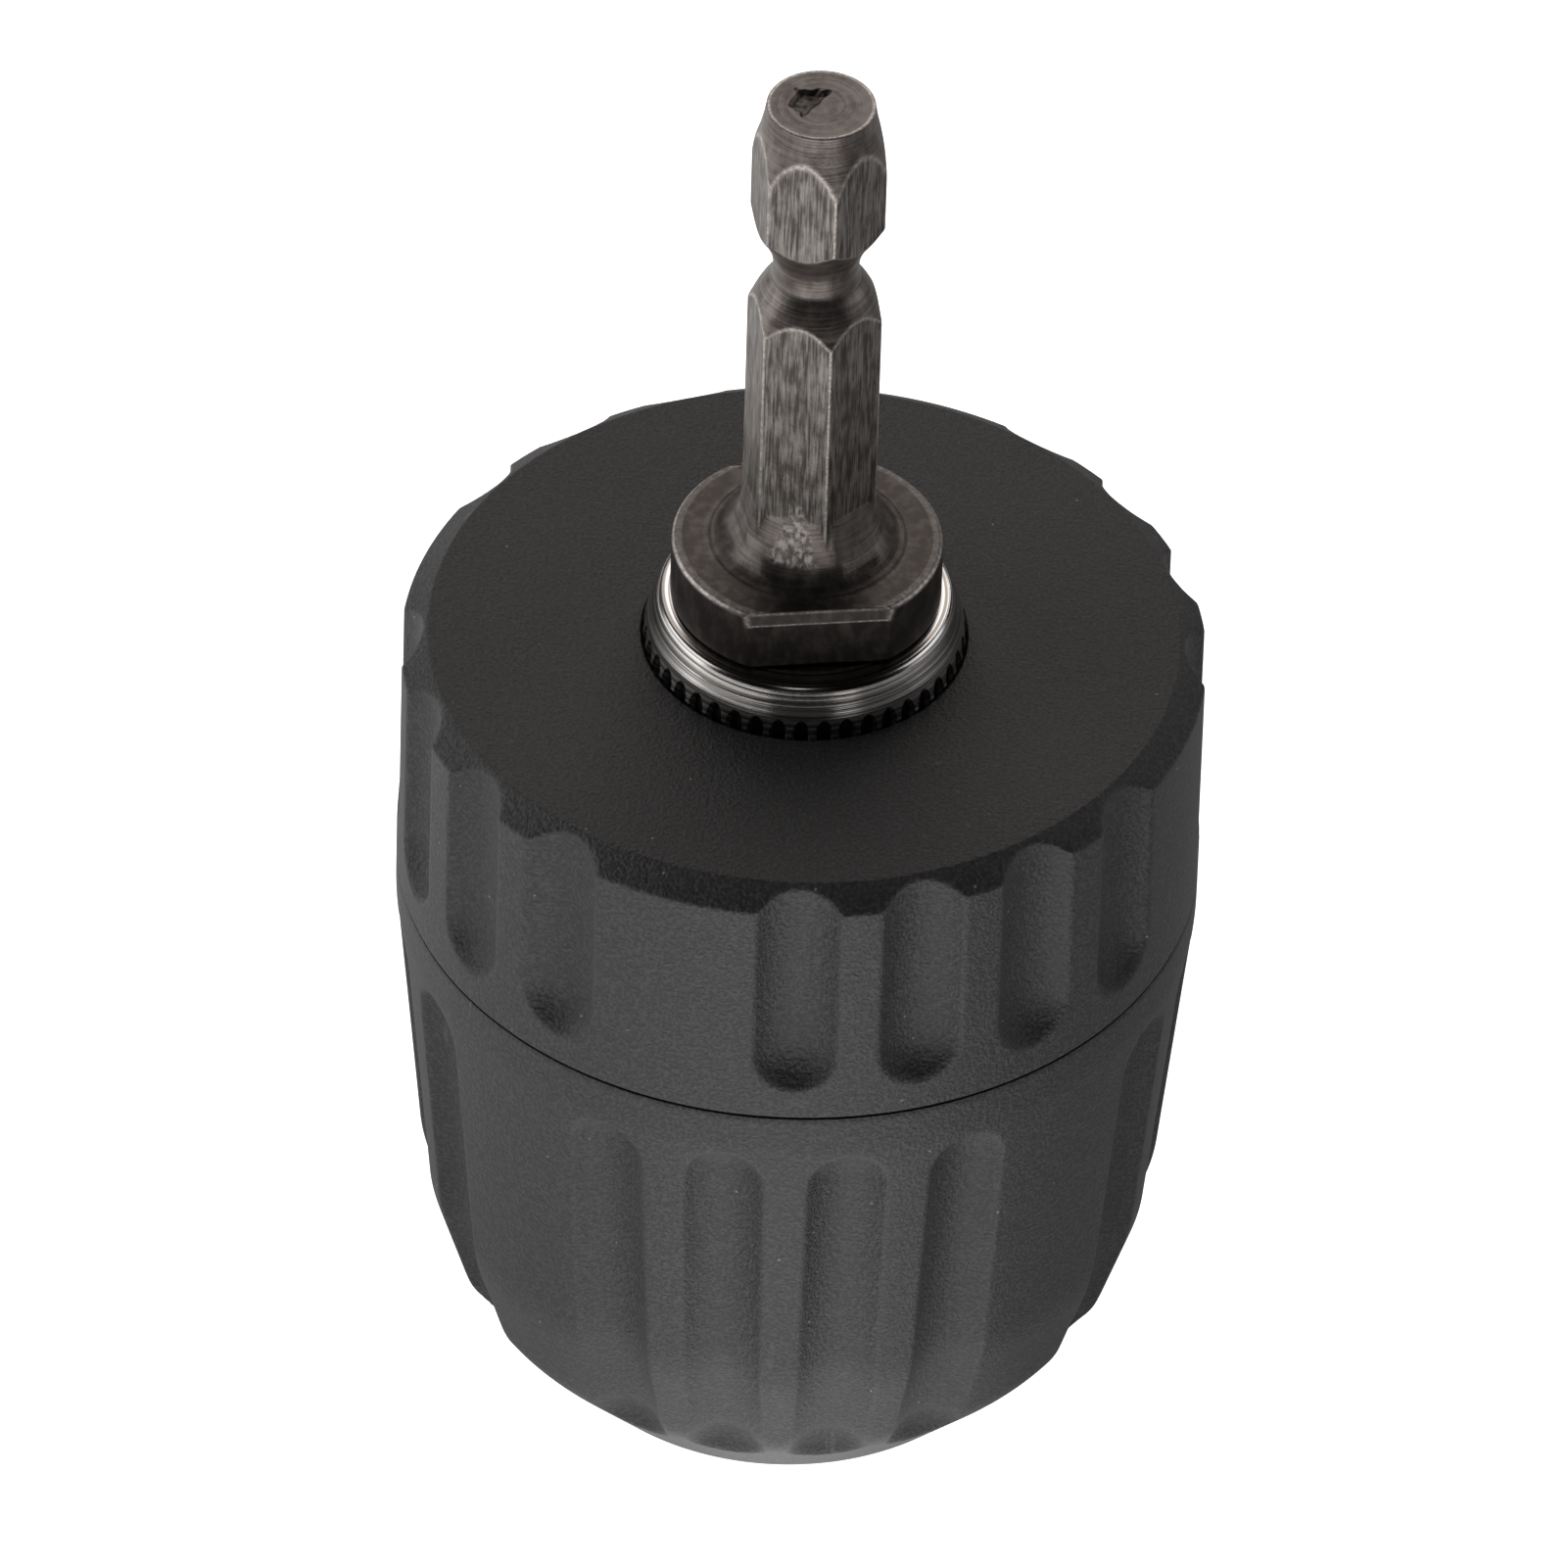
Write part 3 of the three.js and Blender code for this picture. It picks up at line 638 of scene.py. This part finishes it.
# %% [markdown]
# ## Hex shank adapter
# The adapter is turned from hex bar: two stretches keep the hexagon, and everything between is
# turned. Where a turned cone cuts a flat it leaves an arch. Taking the softer minimum of the hexagon
# and the turned envelope gives those arches for free, and a foot fillet is added by a soft maximum.
# The cutter that made the flats ran out in the fillet, which leaves a tongue under each flat.

# %% The adapter's hexagon and turned envelope
HEX_APOTHEM = 3.175
HEX_TURN = math.radians(14.9)
COLLAR_TURN = math.radians(7.2)
COLLAR_LOW, COLLAR_HIGH = HUB_TOP + 0.15, 55.06
FOOT = [
    (5.6, 0.05), (5.2, 0.10), (4.75, 0.26), (4.35, 0.60), (4.0, 1.15), (3.72, 2.0), (3.5, 3.2),
    (3.2, 4.6), (2.0, 5.2),
]
RUN_OUT = [(5.6, 0), (4.9, 0.3), (4.2, 0.55), (3.75, 1.2), (3.45, 2.2), (HEX_APOTHEM, 3.6), (2.5, 4.6)]
SHOULDER = [
    (3.75, 70.55), (3.62, 70.75), (3.45, 71.1), (3.29, 71.5), (3.1, 71.9), (2.89, 72.3),
    (2.62, 72.7), (2.33, 73.1),
]
NECK = [
    (2.26, 73.5), (2.25, 73.9), (2.28, 74.3), (2.4, 74.8), (2.6, 75.3), (2.9, 75.9),
    (3.25, 76.4), (3.5, 76.8),
]
TIP = [
    (3.75, 77.1), (3.75, 80.1), (3.67, 80.6), (3.57, 81.1), (3.43, 81.8), (3.16, 82.7),
    (2.98, 83.5), (2.83, 84.4),
]
ENVELOPE = SHOULDER + NECK + TIP
print("neck radius:", min(radius for radius, _ in ENVELOPE), "shank hexagon:", 2 * HEX_APOTHEM)


def between(table, z):
    """Radius from a list of (radius, height), read as a smooth line."""
    radii, heights = np.array(table).T
    wide = np.interp(z, heights, radii)
    return (np.interp(z - 0.12, heights, radii) + wide + np.interp(z + 0.12, heights, radii)) / 3


# %% Adapter: stub and collar
def flat_cut(turns, places, distance):
    """Radius of planes that face the given turns, at a distance from the axis."""
    off = nearest_turn(turns, places)[None, :]
    return distance / np.clip(np.cos(off), 0.05, None)


def stub_and_collar(turns):
    bore_top = 46.0
    corners = [
        (0, bore_top, 0), (2.65, bore_top, 0.1), (2.65, STUB_LOW, 0.2), (6.0, STUB_LOW, 0.3),
        (6.0, COLLAR_LOW, 0.1), (COLLAR_R, COLLAR_LOW, 0.12), (COLLAR_R, COLLAR_HIGH - 0.22, 0.25),
        (COLLAR_R - 0.2, COLLAR_HIGH, 0.08), (5.6, COLLAR_HIGH + 0.05, 0),
    ]
    path = refined(rounded(corners), 0.07, lambda r, z: r > 6.1 and z > COLLAR_LOW + 0.3)
    r, z = path[:, :1], path[:, 1:]
    bevel = np.clip((z - (COLLAR_HIGH - 0.8)) / 0.7, 0, 1)
    flats = flat_cut(turns, [COLLAR_TURN, COLLAR_TURN + math.pi], 6.08 - 0.13 * bevel)
    radius = np.where(z > COLLAR_LOW - 0.01, soft_min(r + 0 * flats, flats, 0.08), r + 0 * flats)
    on_flat = smooth_step(0.0, 0.05, r - flats)
    line = np.exp(-(((z - (COLLAR_HIGH - 0.8)) / 0.04) ** 2)) * on_flat
    rim = np.exp(-(((z - (COLLAR_HIGH - 0.1)) / 0.08) ** 2)) * (r > 6.6)
    corner = np.exp(-(((r - flats) / 0.1) ** 2)) * (z > COLLAR_HIGH - 0.9) * (r > 6.6)
    worn = np.clip(np.maximum(np.maximum(line * 0.9, rim * (1 - 0.6 * on_flat)), corner * 0.6), 0, 1)
    return radius, z + 0 * radius, worn


# %% Adapter: foot, shank and tip
def foot_and_shank(turns):
    foot_z = COLLAR_HIGH + np.concatenate([np.linspace(0.05, 0.7, 20)[1:], np.linspace(0.7, 5, 50)[1:]])
    plain_z = np.arange(foot_z[-1] + 0.15, 69.0, 0.3)
    shaped_z = np.arange(69.0, SHANK_TOP - 0.02, 0.06)
    z = np.concatenate([foot_z, plain_z, shaped_z])[:, None]
    flats = HEX_TURN + math.pi / 6 + np.arange(6) * math.pi / 3
    hexagon = soft_min(flat_cut(turns, flats, HEX_APOTHEM), 3.64, 0.05)
    turned = between(ENVELOPE, z) + 0 * hexagon
    shank = soft_min(hexagon + 0 * z, turned, 0.1)
    heights = [(radius, COLLAR_HIGH + rise) for radius, rise in FOOT]
    fillet = between(heights, z)
    run_out = between([(radius, COLLAR_HIGH + rise) for radius, rise in RUN_OUT], z)
    tongue = flat_cut(turns, flats, 1.0) * run_out
    foot = soft_min(fillet + 0 * hexagon, tongue, 0.08)
    radius = soft_max(shank, foot, 0.15)
    above_foot = smooth_step(0.0, 0.12, shank - foot) * (z > COLLAR_HIGH + 0.5)
    flat = smooth_step(0.0, 0.06, turned - hexagon) * above_foot
    edge = np.exp(-(((turned - hexagon) / 0.05) ** 2)) * (z > 69)
    off_flat = np.abs(nearest_turn(turns, flats))[None, :]
    ridge = smooth_step(math.radians(28.0), math.radians(29.6), off_flat) * flat
    rise = z - COLLAR_HIGH
    half_width = 0.3 + 0.3 * np.clip(4.9 - rise, 0, None)
    off_middle = np.abs(radius * np.sin(nearest_turn(turns, [flats[-1] + math.radians(4)])))
    scuffed = smooth_step(0.1, -0.3, off_middle - half_width)
    scuffed = scuffed * smooth_step(0.85, 1.35, rise) * smooth_step(5.2, 4.2, rise)
    return radius, z + 0 * radius, flat, np.clip(edge * 0.7 + ridge * 0.8, 0, 1), scuffed


# %% Adapter: one skin with its marks
def hex_adapter():
    turns = all_round(432)
    low_r, low_z, low_worn = stub_and_collar(turns)
    r, z, flat, worn, scuffed = foot_and_shank(turns)
    rings = np.linspace(2.74, 0, 46)[:, None]
    x, y = rings * np.sin(turns), -rings * np.cos(turns)
    wobble = 0.09 * np.sin(5.1 * x + 2.0) * np.cos(4.3 * y) + 0.05 * np.sin(11 * x - 7 * y)
    back_edge = 1.16 - y
    left_edge = np.minimum(0.96 * (x + 1.65) - 0.25 * y, 0.77 * (x + 1.83) + 0.64 * (y - 0.08))
    right_edge = 0.59 * (y - 1.16) - 0.81 * (x - 0.6)
    dent = smooth_step(-0.08, 0.3, np.minimum(np.minimum(back_edge, left_edge), right_edge) + wobble)
    top_z = SHANK_TOP - 0.3 * dent * (0.8 + 0.2 * np.sin(6 * x + 3 * y) * np.sin(5 * y - 4 * x))
    zero = np.zeros_like(low_r)
    none = np.zeros_like(x)
    rim = np.exp(-(((rings - 2.72) / 0.06) ** 2)) + none
    foot_oxide = smooth_step(COLLAR_HIGH + 1.6, COLLAR_HIGH + 0.2, z) * 0.7
    marks = {
        "flat": np.vstack([zero, flat, none]),
        "worn": np.vstack([low_worn, worn, rim]),
        "scuffed": np.vstack([zero, scuffed, none]),
        "oxide": np.vstack([zero + 1, foot_oxide, 0.3 + dent * 0.6]),
    }
    radius, height = np.vstack([low_r, r, rings + none]), np.vstack([low_z, z, top_z])
    return skin_mesh("adapter", radius, height, turns, False, marks)


piece("adapter", hex_adapter(), "root", "shank_steel", SHANK_STEEL, "hex_adapter")

# %% [markdown]
# ## Retaining screw and nose ring
# A left-hand screw down the middle keeps the adapter from working loose, and is driven through the
# open jaws with a hex key. The ring at the nose holds the front sleeve on. Both are seen only from
# the front end, deep in shadow, where the screw's socket is what tells the eye what it is.

# %% Retaining screw
def retaining_screw():
    turns = all_round(144)
    head_top = 31.4
    corners = [
        (0, 30.4, 0), (2.2, 30.4, 0.05), (2.2, SCREW_LOW, 0.15), (SCREW_HEAD_R, SCREW_LOW, 0.4),
        (SCREW_HEAD_R, head_top, 0.1), (2.4, head_top, 0.15), (2.4, 32.5, 0), (2.4, SCREW_TOP, 0.5),
        (0, SCREW_TOP, 0),
    ]
    path = refined(rounded(corners), 0.12, lambda r, z: r < 2.5 and z > 32.5)
    r, z = path[:, :1], path[:, 1:]
    socket = flat_cut(turns, np.arange(6) * math.pi / 3, 2.0)
    in_socket = (z < 30.45) & (r < 2.6)
    threaded = (z > 33) & (z < SCREW_TOP - 0.6) & (r > 2)
    thread = 0.16 * (0.5 + 0.5 * np.cos(2 * math.pi * z / 0.8 - turns[None, :])) * threaded
    radius = np.where(in_socket, r * socket / 2.2, r + 0 * socket) - thread
    return skin_mesh("screw", radius, z, turns, False)


piece("screw", retaining_screw(), "root", "black_steel", BLACK_STEEL, "retaining_screw")

# %% Rings: the nose ring and the two bearing races
def turned_ring(name, corners, count=360):
    path = rounded(corners)
    turns = all_round(count)
    return skin_mesh(name, path[:, :1] + 0 * turns[None, :], path[:, 1:], turns, closed=True)


ring_in = RING_R - 0.7
nose = [
    (ring_in, RING_LOW, 0.1), (RING_R, RING_LOW, 0.25), (RING_R, RING_HIGH, 0.1),
    (ring_in, RING_HIGH, 0.1),
]
piece("ring_nose", turned_ring("nose_ring", nose), "root", "plain_steel", PLAIN_STEEL, "nose_ring")

# %% [markdown]
# ## Ball thrust bearing
# Sixteen balls run between two races and let the nut push hard without friction. A race is a flat
# ring with a shallow groove, the cage is a thin stamped ring, and the balls turn with the cage at
# half the sleeve's speed.

# %% Races, cage and balls
BALL_CIRCLE = 16.1
BALL_R = 1.0
BALL_COUNT = 16


def race(node, groove_up):
    low, high, out_r = reach(node)
    inner_r, dip, half = 14.85, 0.12, 0.45
    corners = [(inner_r, low, 0.08), (out_r, low, 0.08), (out_r, high, 0.08), (inner_r, high, 0.08)]
    channel = [
        (BALL_CIRCLE + half, 0.1), (BALL_CIRCLE + 0.2, dip), (BALL_CIRCLE - 0.2, dip),
        (BALL_CIRCLE - half, 0.1),
    ]
    if groove_up:
        corners[3:3] = [(r, high - d if 0 < k < 3 else high, d) for k, (r, d) in enumerate(channel)]
    else:
        corners[1:1] = [(r, low + d if 0 < k < 3 else low, d) for k, (r, d) in enumerate(reversed(channel))]
    return turned_ring(node, corners)


front_race, rear_race = race("race_front", True), race("race_rear", False)
piece("bearing_race_front", front_race, "turning_sleeve", "bearing_steel", BEARING_STEEL, "race_front")
piece("bearing_race_rear", rear_race, "root", "bearing_steel", BEARING_STEEL, "race_rear")


def ball_mesh(node):
    low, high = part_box(node)
    made = bmesh.new()
    bmesh.ops.create_icosphere(made, subdivisions=4, radius=BALL_R * MM)
    middle = Vector(((low.x + high.x) / 2, (low.y + high.y) / 2, (low.z + high.z) / 2))
    bmesh.ops.translate(made, verts=made.verts, vec=middle)
    mesh = bpy.data.meshes.new(node)
    made.to_mesh(mesh)
    made.free()
    mesh.shade_smooth()
    return mesh


for i in range(BALL_COUNT):
    node = f"ball_{i + 1:02d}"
    piece(f"bearing_{node}", ball_mesh(node), "bearing_cage", "bearing_steel", BEARING_STEEL, node)


def cage_mesh():
    low, high, out_r = reach("ball_cage")
    blank = turned_ring("cage", [(14.5, low, 0.1), (out_r, low, 0.1), (out_r, high, 0.1), (14.5, high, 0.1)])
    pockets = []
    for i in range(BALL_COUNT):
        pocket = bar(BALL_R + 0.1, low - 1, high + 1, 48)
        turn = 2 * math.pi * i / BALL_COUNT
        pocket.transform(Matrix.Translation(Vector((math.cos(turn), math.sin(turn), 0)) * BALL_CIRCLE * MM))
        pockets.append(pocket)
    return carved(blank, pockets)


piece("bearing_cage", cage_mesh(), "bearing_cage", "cage_brass", CAGE_BRASS, "ball_cage")

# %% [markdown]
# ## Jaws
# A jaw is a hardened pin cut by two planes that meet in the gripping edge, with a cone at the tip
# and a rack of curved teeth on its back. The teeth are pieces of the nut's thread, so each is a
# short helix round the chuck's axis, and each jaw's rack starts a third of a pitch after the last.

# %% Jaw blank, wedge and teeth
THREAD_PITCH = 2.0
OPEN_R = 6.5
GRIP_LAND = 0.5
GROOVE_DEEP = 1.02
TOOTH_COUNT = 14


def prism(outline, low, high):
    """A straight block from an (x, y) outline given anticlockwise."""
    count = len(outline)
    points = [(x * MM, y * MM, z * MM) for z in (low, high) for x, y in outline]
    faces = [list(range(count))[::-1], list(range(count, 2 * count))]
    faces += [[i, (i + 1) % count, (i + 1) % count + count, i + count] for i in range(count)]
    mesh = bpy.data.meshes.new("prism")
    mesh.from_pydata(points, [], faces)
    return mesh


def tooth_grooves(number):
    """The grooves between a jaw's teeth: short helical bars of a trapezoid section."""
    rise, spread = THREAD_PITCH * math.cos(JAW_TILT), THREAD_PITCH * math.sin(JAW_TILT)
    start = 11.5 - rise / 2 + rise * number / 3
    base = jaw_line(start)
    section = [
        (base - GROOVE_DEEP, start - 0.53), (base + 0.6, start - 0.9), (base + 0.6, start + 0.9),
        (base - GROOVE_DEEP, start + 0.53),
    ]
    sweep = np.linspace(-math.radians(30), math.radians(30), 13)
    points, faces = [], []
    for tooth in range(TOOTH_COUNT):
        first = len(points)
        for turn in sweep:
            for r, z in section:
                reach_r = r + spread * (turn / (2 * math.pi) + tooth)
                climb = z + rise * (turn / (2 * math.pi) + tooth)
                points.append((reach_r * math.cos(turn) * MM, reach_r * math.sin(turn) * MM, climb * MM))
        for k in range(len(sweep) - 1):
            a, b = first + 4 * k, first + 4 * (k + 1)
            faces += [[a + j, b + j, b + (j + 1) % 4, a + (j + 1) % 4] for j in range(4)]
        faces += [[first, first + 1, first + 2, first + 3]]
        faces += [[first + 4 * (len(sweep) - 1) + j for j in (3, 2, 1, 0)]]
    mesh = bpy.data.meshes.new("grooves")
    mesh.from_pydata(points, [], faces)
    tidy = bmesh.new()
    tidy.from_mesh(mesh)
    bmesh.ops.recalc_face_normals(tidy, faces=tidy.faces)
    tidy.to_mesh(mesh)
    tidy.free()
    return mesh


# %% Three jaws
def jaw_mesh(number):
    length, edge, reach_out = 36.6, 0.6, 20
    blank = rounded([(0, -4, 0), (JAW_R, -4, 0), (JAW_R, length, edge), (0, length, 0)])
    turns = all_round(96)
    pin = along_jaw(skin_mesh("jaw", blank[:, :1] + 0 * turns[None, :], blank[:, 1:], turns, False), 0)
    side = GRIP_LAND + reach_out * math.tan(math.radians(60))
    far = OPEN_R + reach_out
    wedge = prism([(OPEN_R, -GRIP_LAND), (far, -side), (far, side), (OPEN_R, GRIP_LAND)], JAW_TIP_Z, 45)
    tip = np.array([[0, JAW_TIP_Z], [7.9, JAW_TIP_Z], [10.4, 3.4], [30, 3.4], [30, 45], [0, 45]])
    cone_turns = all_round(180)
    cone = skin_mesh("tip", tip[:, :1] + 0 * cone_turns[None, :], tip[:, 1:], cone_turns, False)
    made = carved(carved(pin, [wedge, cone], "INTERSECT"), [tooth_grooves(number)])
    made.transform(Matrix.Rotation(number * 2 * math.pi / 3, 4, "Z"))
    return made


for i in range(3):
    piece(f"gripping_jaw_{i + 1}", jaw_mesh(i), f"jaw_{i + 1}", "black_steel", BLACK_STEEL, f"jaw_{i + 1}")

# %% [markdown]
# ## Nut and drive band
# The split nut and its band are inside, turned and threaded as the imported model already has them, so
# those nodes stay as they are and only get a ground-steel finish.

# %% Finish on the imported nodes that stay
for name in ("nut_half_a", "nut_half_b", "nut_band"):
    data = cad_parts[name].data
    data.materials.clear()
    data.materials.append(PLAIN_STEEL)

# %% [markdown]
# ## Studio
# The chuck stands on its nose on a pale lit table. A softbox at each side lights the steel's edges,
# one behind lights the faces that look up, and a small lamp stands by the camera. The table is plain
# to look at. The light that it throws back is uneven, brightest in front, and comes from a second
# sheet just above it that the camera doesn't see: upright black plastic then reads lighter than the
# faces that look up, and the walls of the flutes stay dark.

# %% Table, and the light that it throws back
TABLE_HALF = 1.5
FLOOR_LIGHT_RISE = 0.2


def sheet(name, half, height):
    mesh = bpy.data.meshes.new(name)
    corners = [(-half, -half, height), (half, -half, height), (half, half, height), (-half, half, height)]
    mesh.from_pydata(corners, [], [(0, 1, 2, 3)])
    thing = as_object(name, mesh)
    return thing


def glowing(name, strength):
    """A pale matt material that also gives light of its own."""
    f = Recipe(name, (0.5, 0.5, 0.5), 0.9, 0.0)
    glow = strength(f) if callable(strength) else strength
    lamp = f.node("ShaderNodeEmission", {}, {"Color": (1, 0.99, 0.98, 1), "Strength": glow})
    both = f.node("ShaderNodeAddShader", {}, {0: lamp, 1: Signal(f, f.shader.outputs[0])})
    f.tree.links.new(both.socket, f.tree.nodes["Material Output"].inputs["Surface"])
    return f.material


def floor_light(f):
    """Bright in a wedge in front of the chuck, dimmer to the left, dimmest to the right."""
    at = f.place()
    x = f.node("ShaderNodeSeparateXYZ", {}, {0: at}, "X")
    toward = 0 - f.node("ShaderNodeSeparateXYZ", {}, {0: at}, "Y")
    aside = f.node("ShaderNodeMath", {"operation": "ABSOLUTE"}, {0: x})
    wedge = f.ramp(toward * 0.75 - aside, -0.012, 0.014)
    near = 1.36 + f.ramp(toward, 0.06, 0.12) * 0.34 - f.ramp(toward, 0.2, 0.34) * 0.9
    left = 0.38 + f.ramp(0 - x, 0.045, 0.065) * 0.4
    outside = left - f.ramp(x, -0.01, 0.02) * 0.16 - f.ramp(x, 0.03, 0.05) * 0.05
    return wedge * near + (1 - wedge) * outside


sheet("table", TABLE_HALF, 0.0).data.materials.append(glowing("pale_table", 1.0))
bounce = sheet("floor_light", TABLE_HALF, FLOOR_LIGHT_RISE * MM)
bounce.data.materials.append(glowing("floor_light", floor_light))
bounce.visible_camera = False
print("floor light lies", FLOOR_LIGHT_RISE, "mm above the table")

# %% Softboxes
def softbox(name, azimuth, elevation, distance, width, height, brightness, colour=(1, 1, 1)):
    """A rectangular lamp that looks at the hub. Azimuth is from the front towards +X."""
    lamp = bpy.data.lights.new(name, "AREA")
    lamp.shape, lamp.size, lamp.size_y = "RECTANGLE", width, height
    lamp.energy = brightness * math.pi * width * height
    lamp.color = colour
    thing = bpy.data.objects.new(name, lamp)
    a, e = math.radians(azimuth), math.radians(elevation)
    away = Vector((math.sin(a) * math.cos(e), -math.cos(a) * math.cos(e), math.sin(e)))
    thing.location = Vector((0, 0, 0.045)) + away * distance
    thing.rotation_euler = away.to_track_quat("Z", "Y").to_euler()
    thing.visible_camera = False
    bpy.context.scene.collection.objects.link(thing)
    print(f"{name}: {width} by {height} m, {lamp.energy:.2f} W")


softbox("left_softbox", -95, 19, 0.5, 0.45, 0.36, 1.75, (0.98, 0.99, 1.0))
softbox("right_softbox", 98, 19, 0.5, 0.36, 0.31, 0.95, (0.98, 0.99, 1.0))
softbox("back_softbox", 180, 40, 0.6, 0.7, 0.4, 1.45, (1.0, 0.96, 0.93))
softbox("front_lamp", -5, 45, 0.8, 0.18, 0.14, 1.1)


# %% Black card in front, which the camera can't see, so that bright metal has something dark to mirror
def black_card():
    y, half, high = -0.35, 0.14, 0.25
    mesh = bpy.data.meshes.new("black_card")
    corners = [(-half, y, 0.001), (half, y, 0.001), (half, y, high), (-half, y, high)]
    mesh.from_pydata(corners, [], [(0, 1, 2, 3)])
    mesh.materials.append(Recipe("black_card", (0.01, 0.01, 0.01), 0.9).material)
    card = as_object("black_card", mesh)
    card.visible_camera = False


black_card()

world = bpy.data.worlds.new("studio")
bpy.context.scene.world = world
world.use_nodes = True
world.node_tree.nodes["Background"].inputs["Color"].default_value = (1, 1, 1, 1)
for ray in ("diffuse", "glossy", "transmission", "scatter"):
    setattr(world.cycles_visibility, ray, False)
bpy.context.scene.view_settings.view_transform = "Standard"
bpy.context.scene.view_settings.look = "None"

# %% [markdown]
# ## Camera
# A long lens a metre away looks down at 41 degrees, turned a little so that the shank leans to the
# right, as in a hand-held close-up of a part on a bench.

# %% Camera
CAMERA_ELEVATION = 41.0
CAMERA_DISTANCE = 1032.8
CAMERA_ROLL = 1.81
CAMERA_AIM = (-0.82, 37.67)
CAMERA_LENS = 449.7


def camera():
    lens = bpy.data.cameras.new("camera")
    lens.sensor_width, lens.lens = 36, CAMERA_LENS
    lens.clip_start, lens.clip_end = 0.05, 20
    thing = bpy.data.objects.new("camera", lens)
    elevation, roll = math.radians(CAMERA_ELEVATION), math.radians(CAMERA_ROLL)
    face = Vector((0, 0, REAR_TOP))
    eye = face + Vector((0, -math.cos(elevation), math.sin(elevation))) * CAMERA_DISTANCE
    aim = Vector((CAMERA_AIM[0], 0, CAMERA_AIM[1]))
    thing.location = eye * MM
    look = (aim - eye).to_track_quat("-Z", "Y")
    thing.rotation_mode = "QUATERNION"
    thing.rotation_quaternion = look @ Matrix.Rotation(roll, 4, "Z").to_quaternion()
    bpy.context.scene.collection.objects.link(thing)
    bpy.context.scene.camera = thing
    print("camera at", [round(v, 3) for v in thing.location], "lens", CAMERA_LENS)


camera()
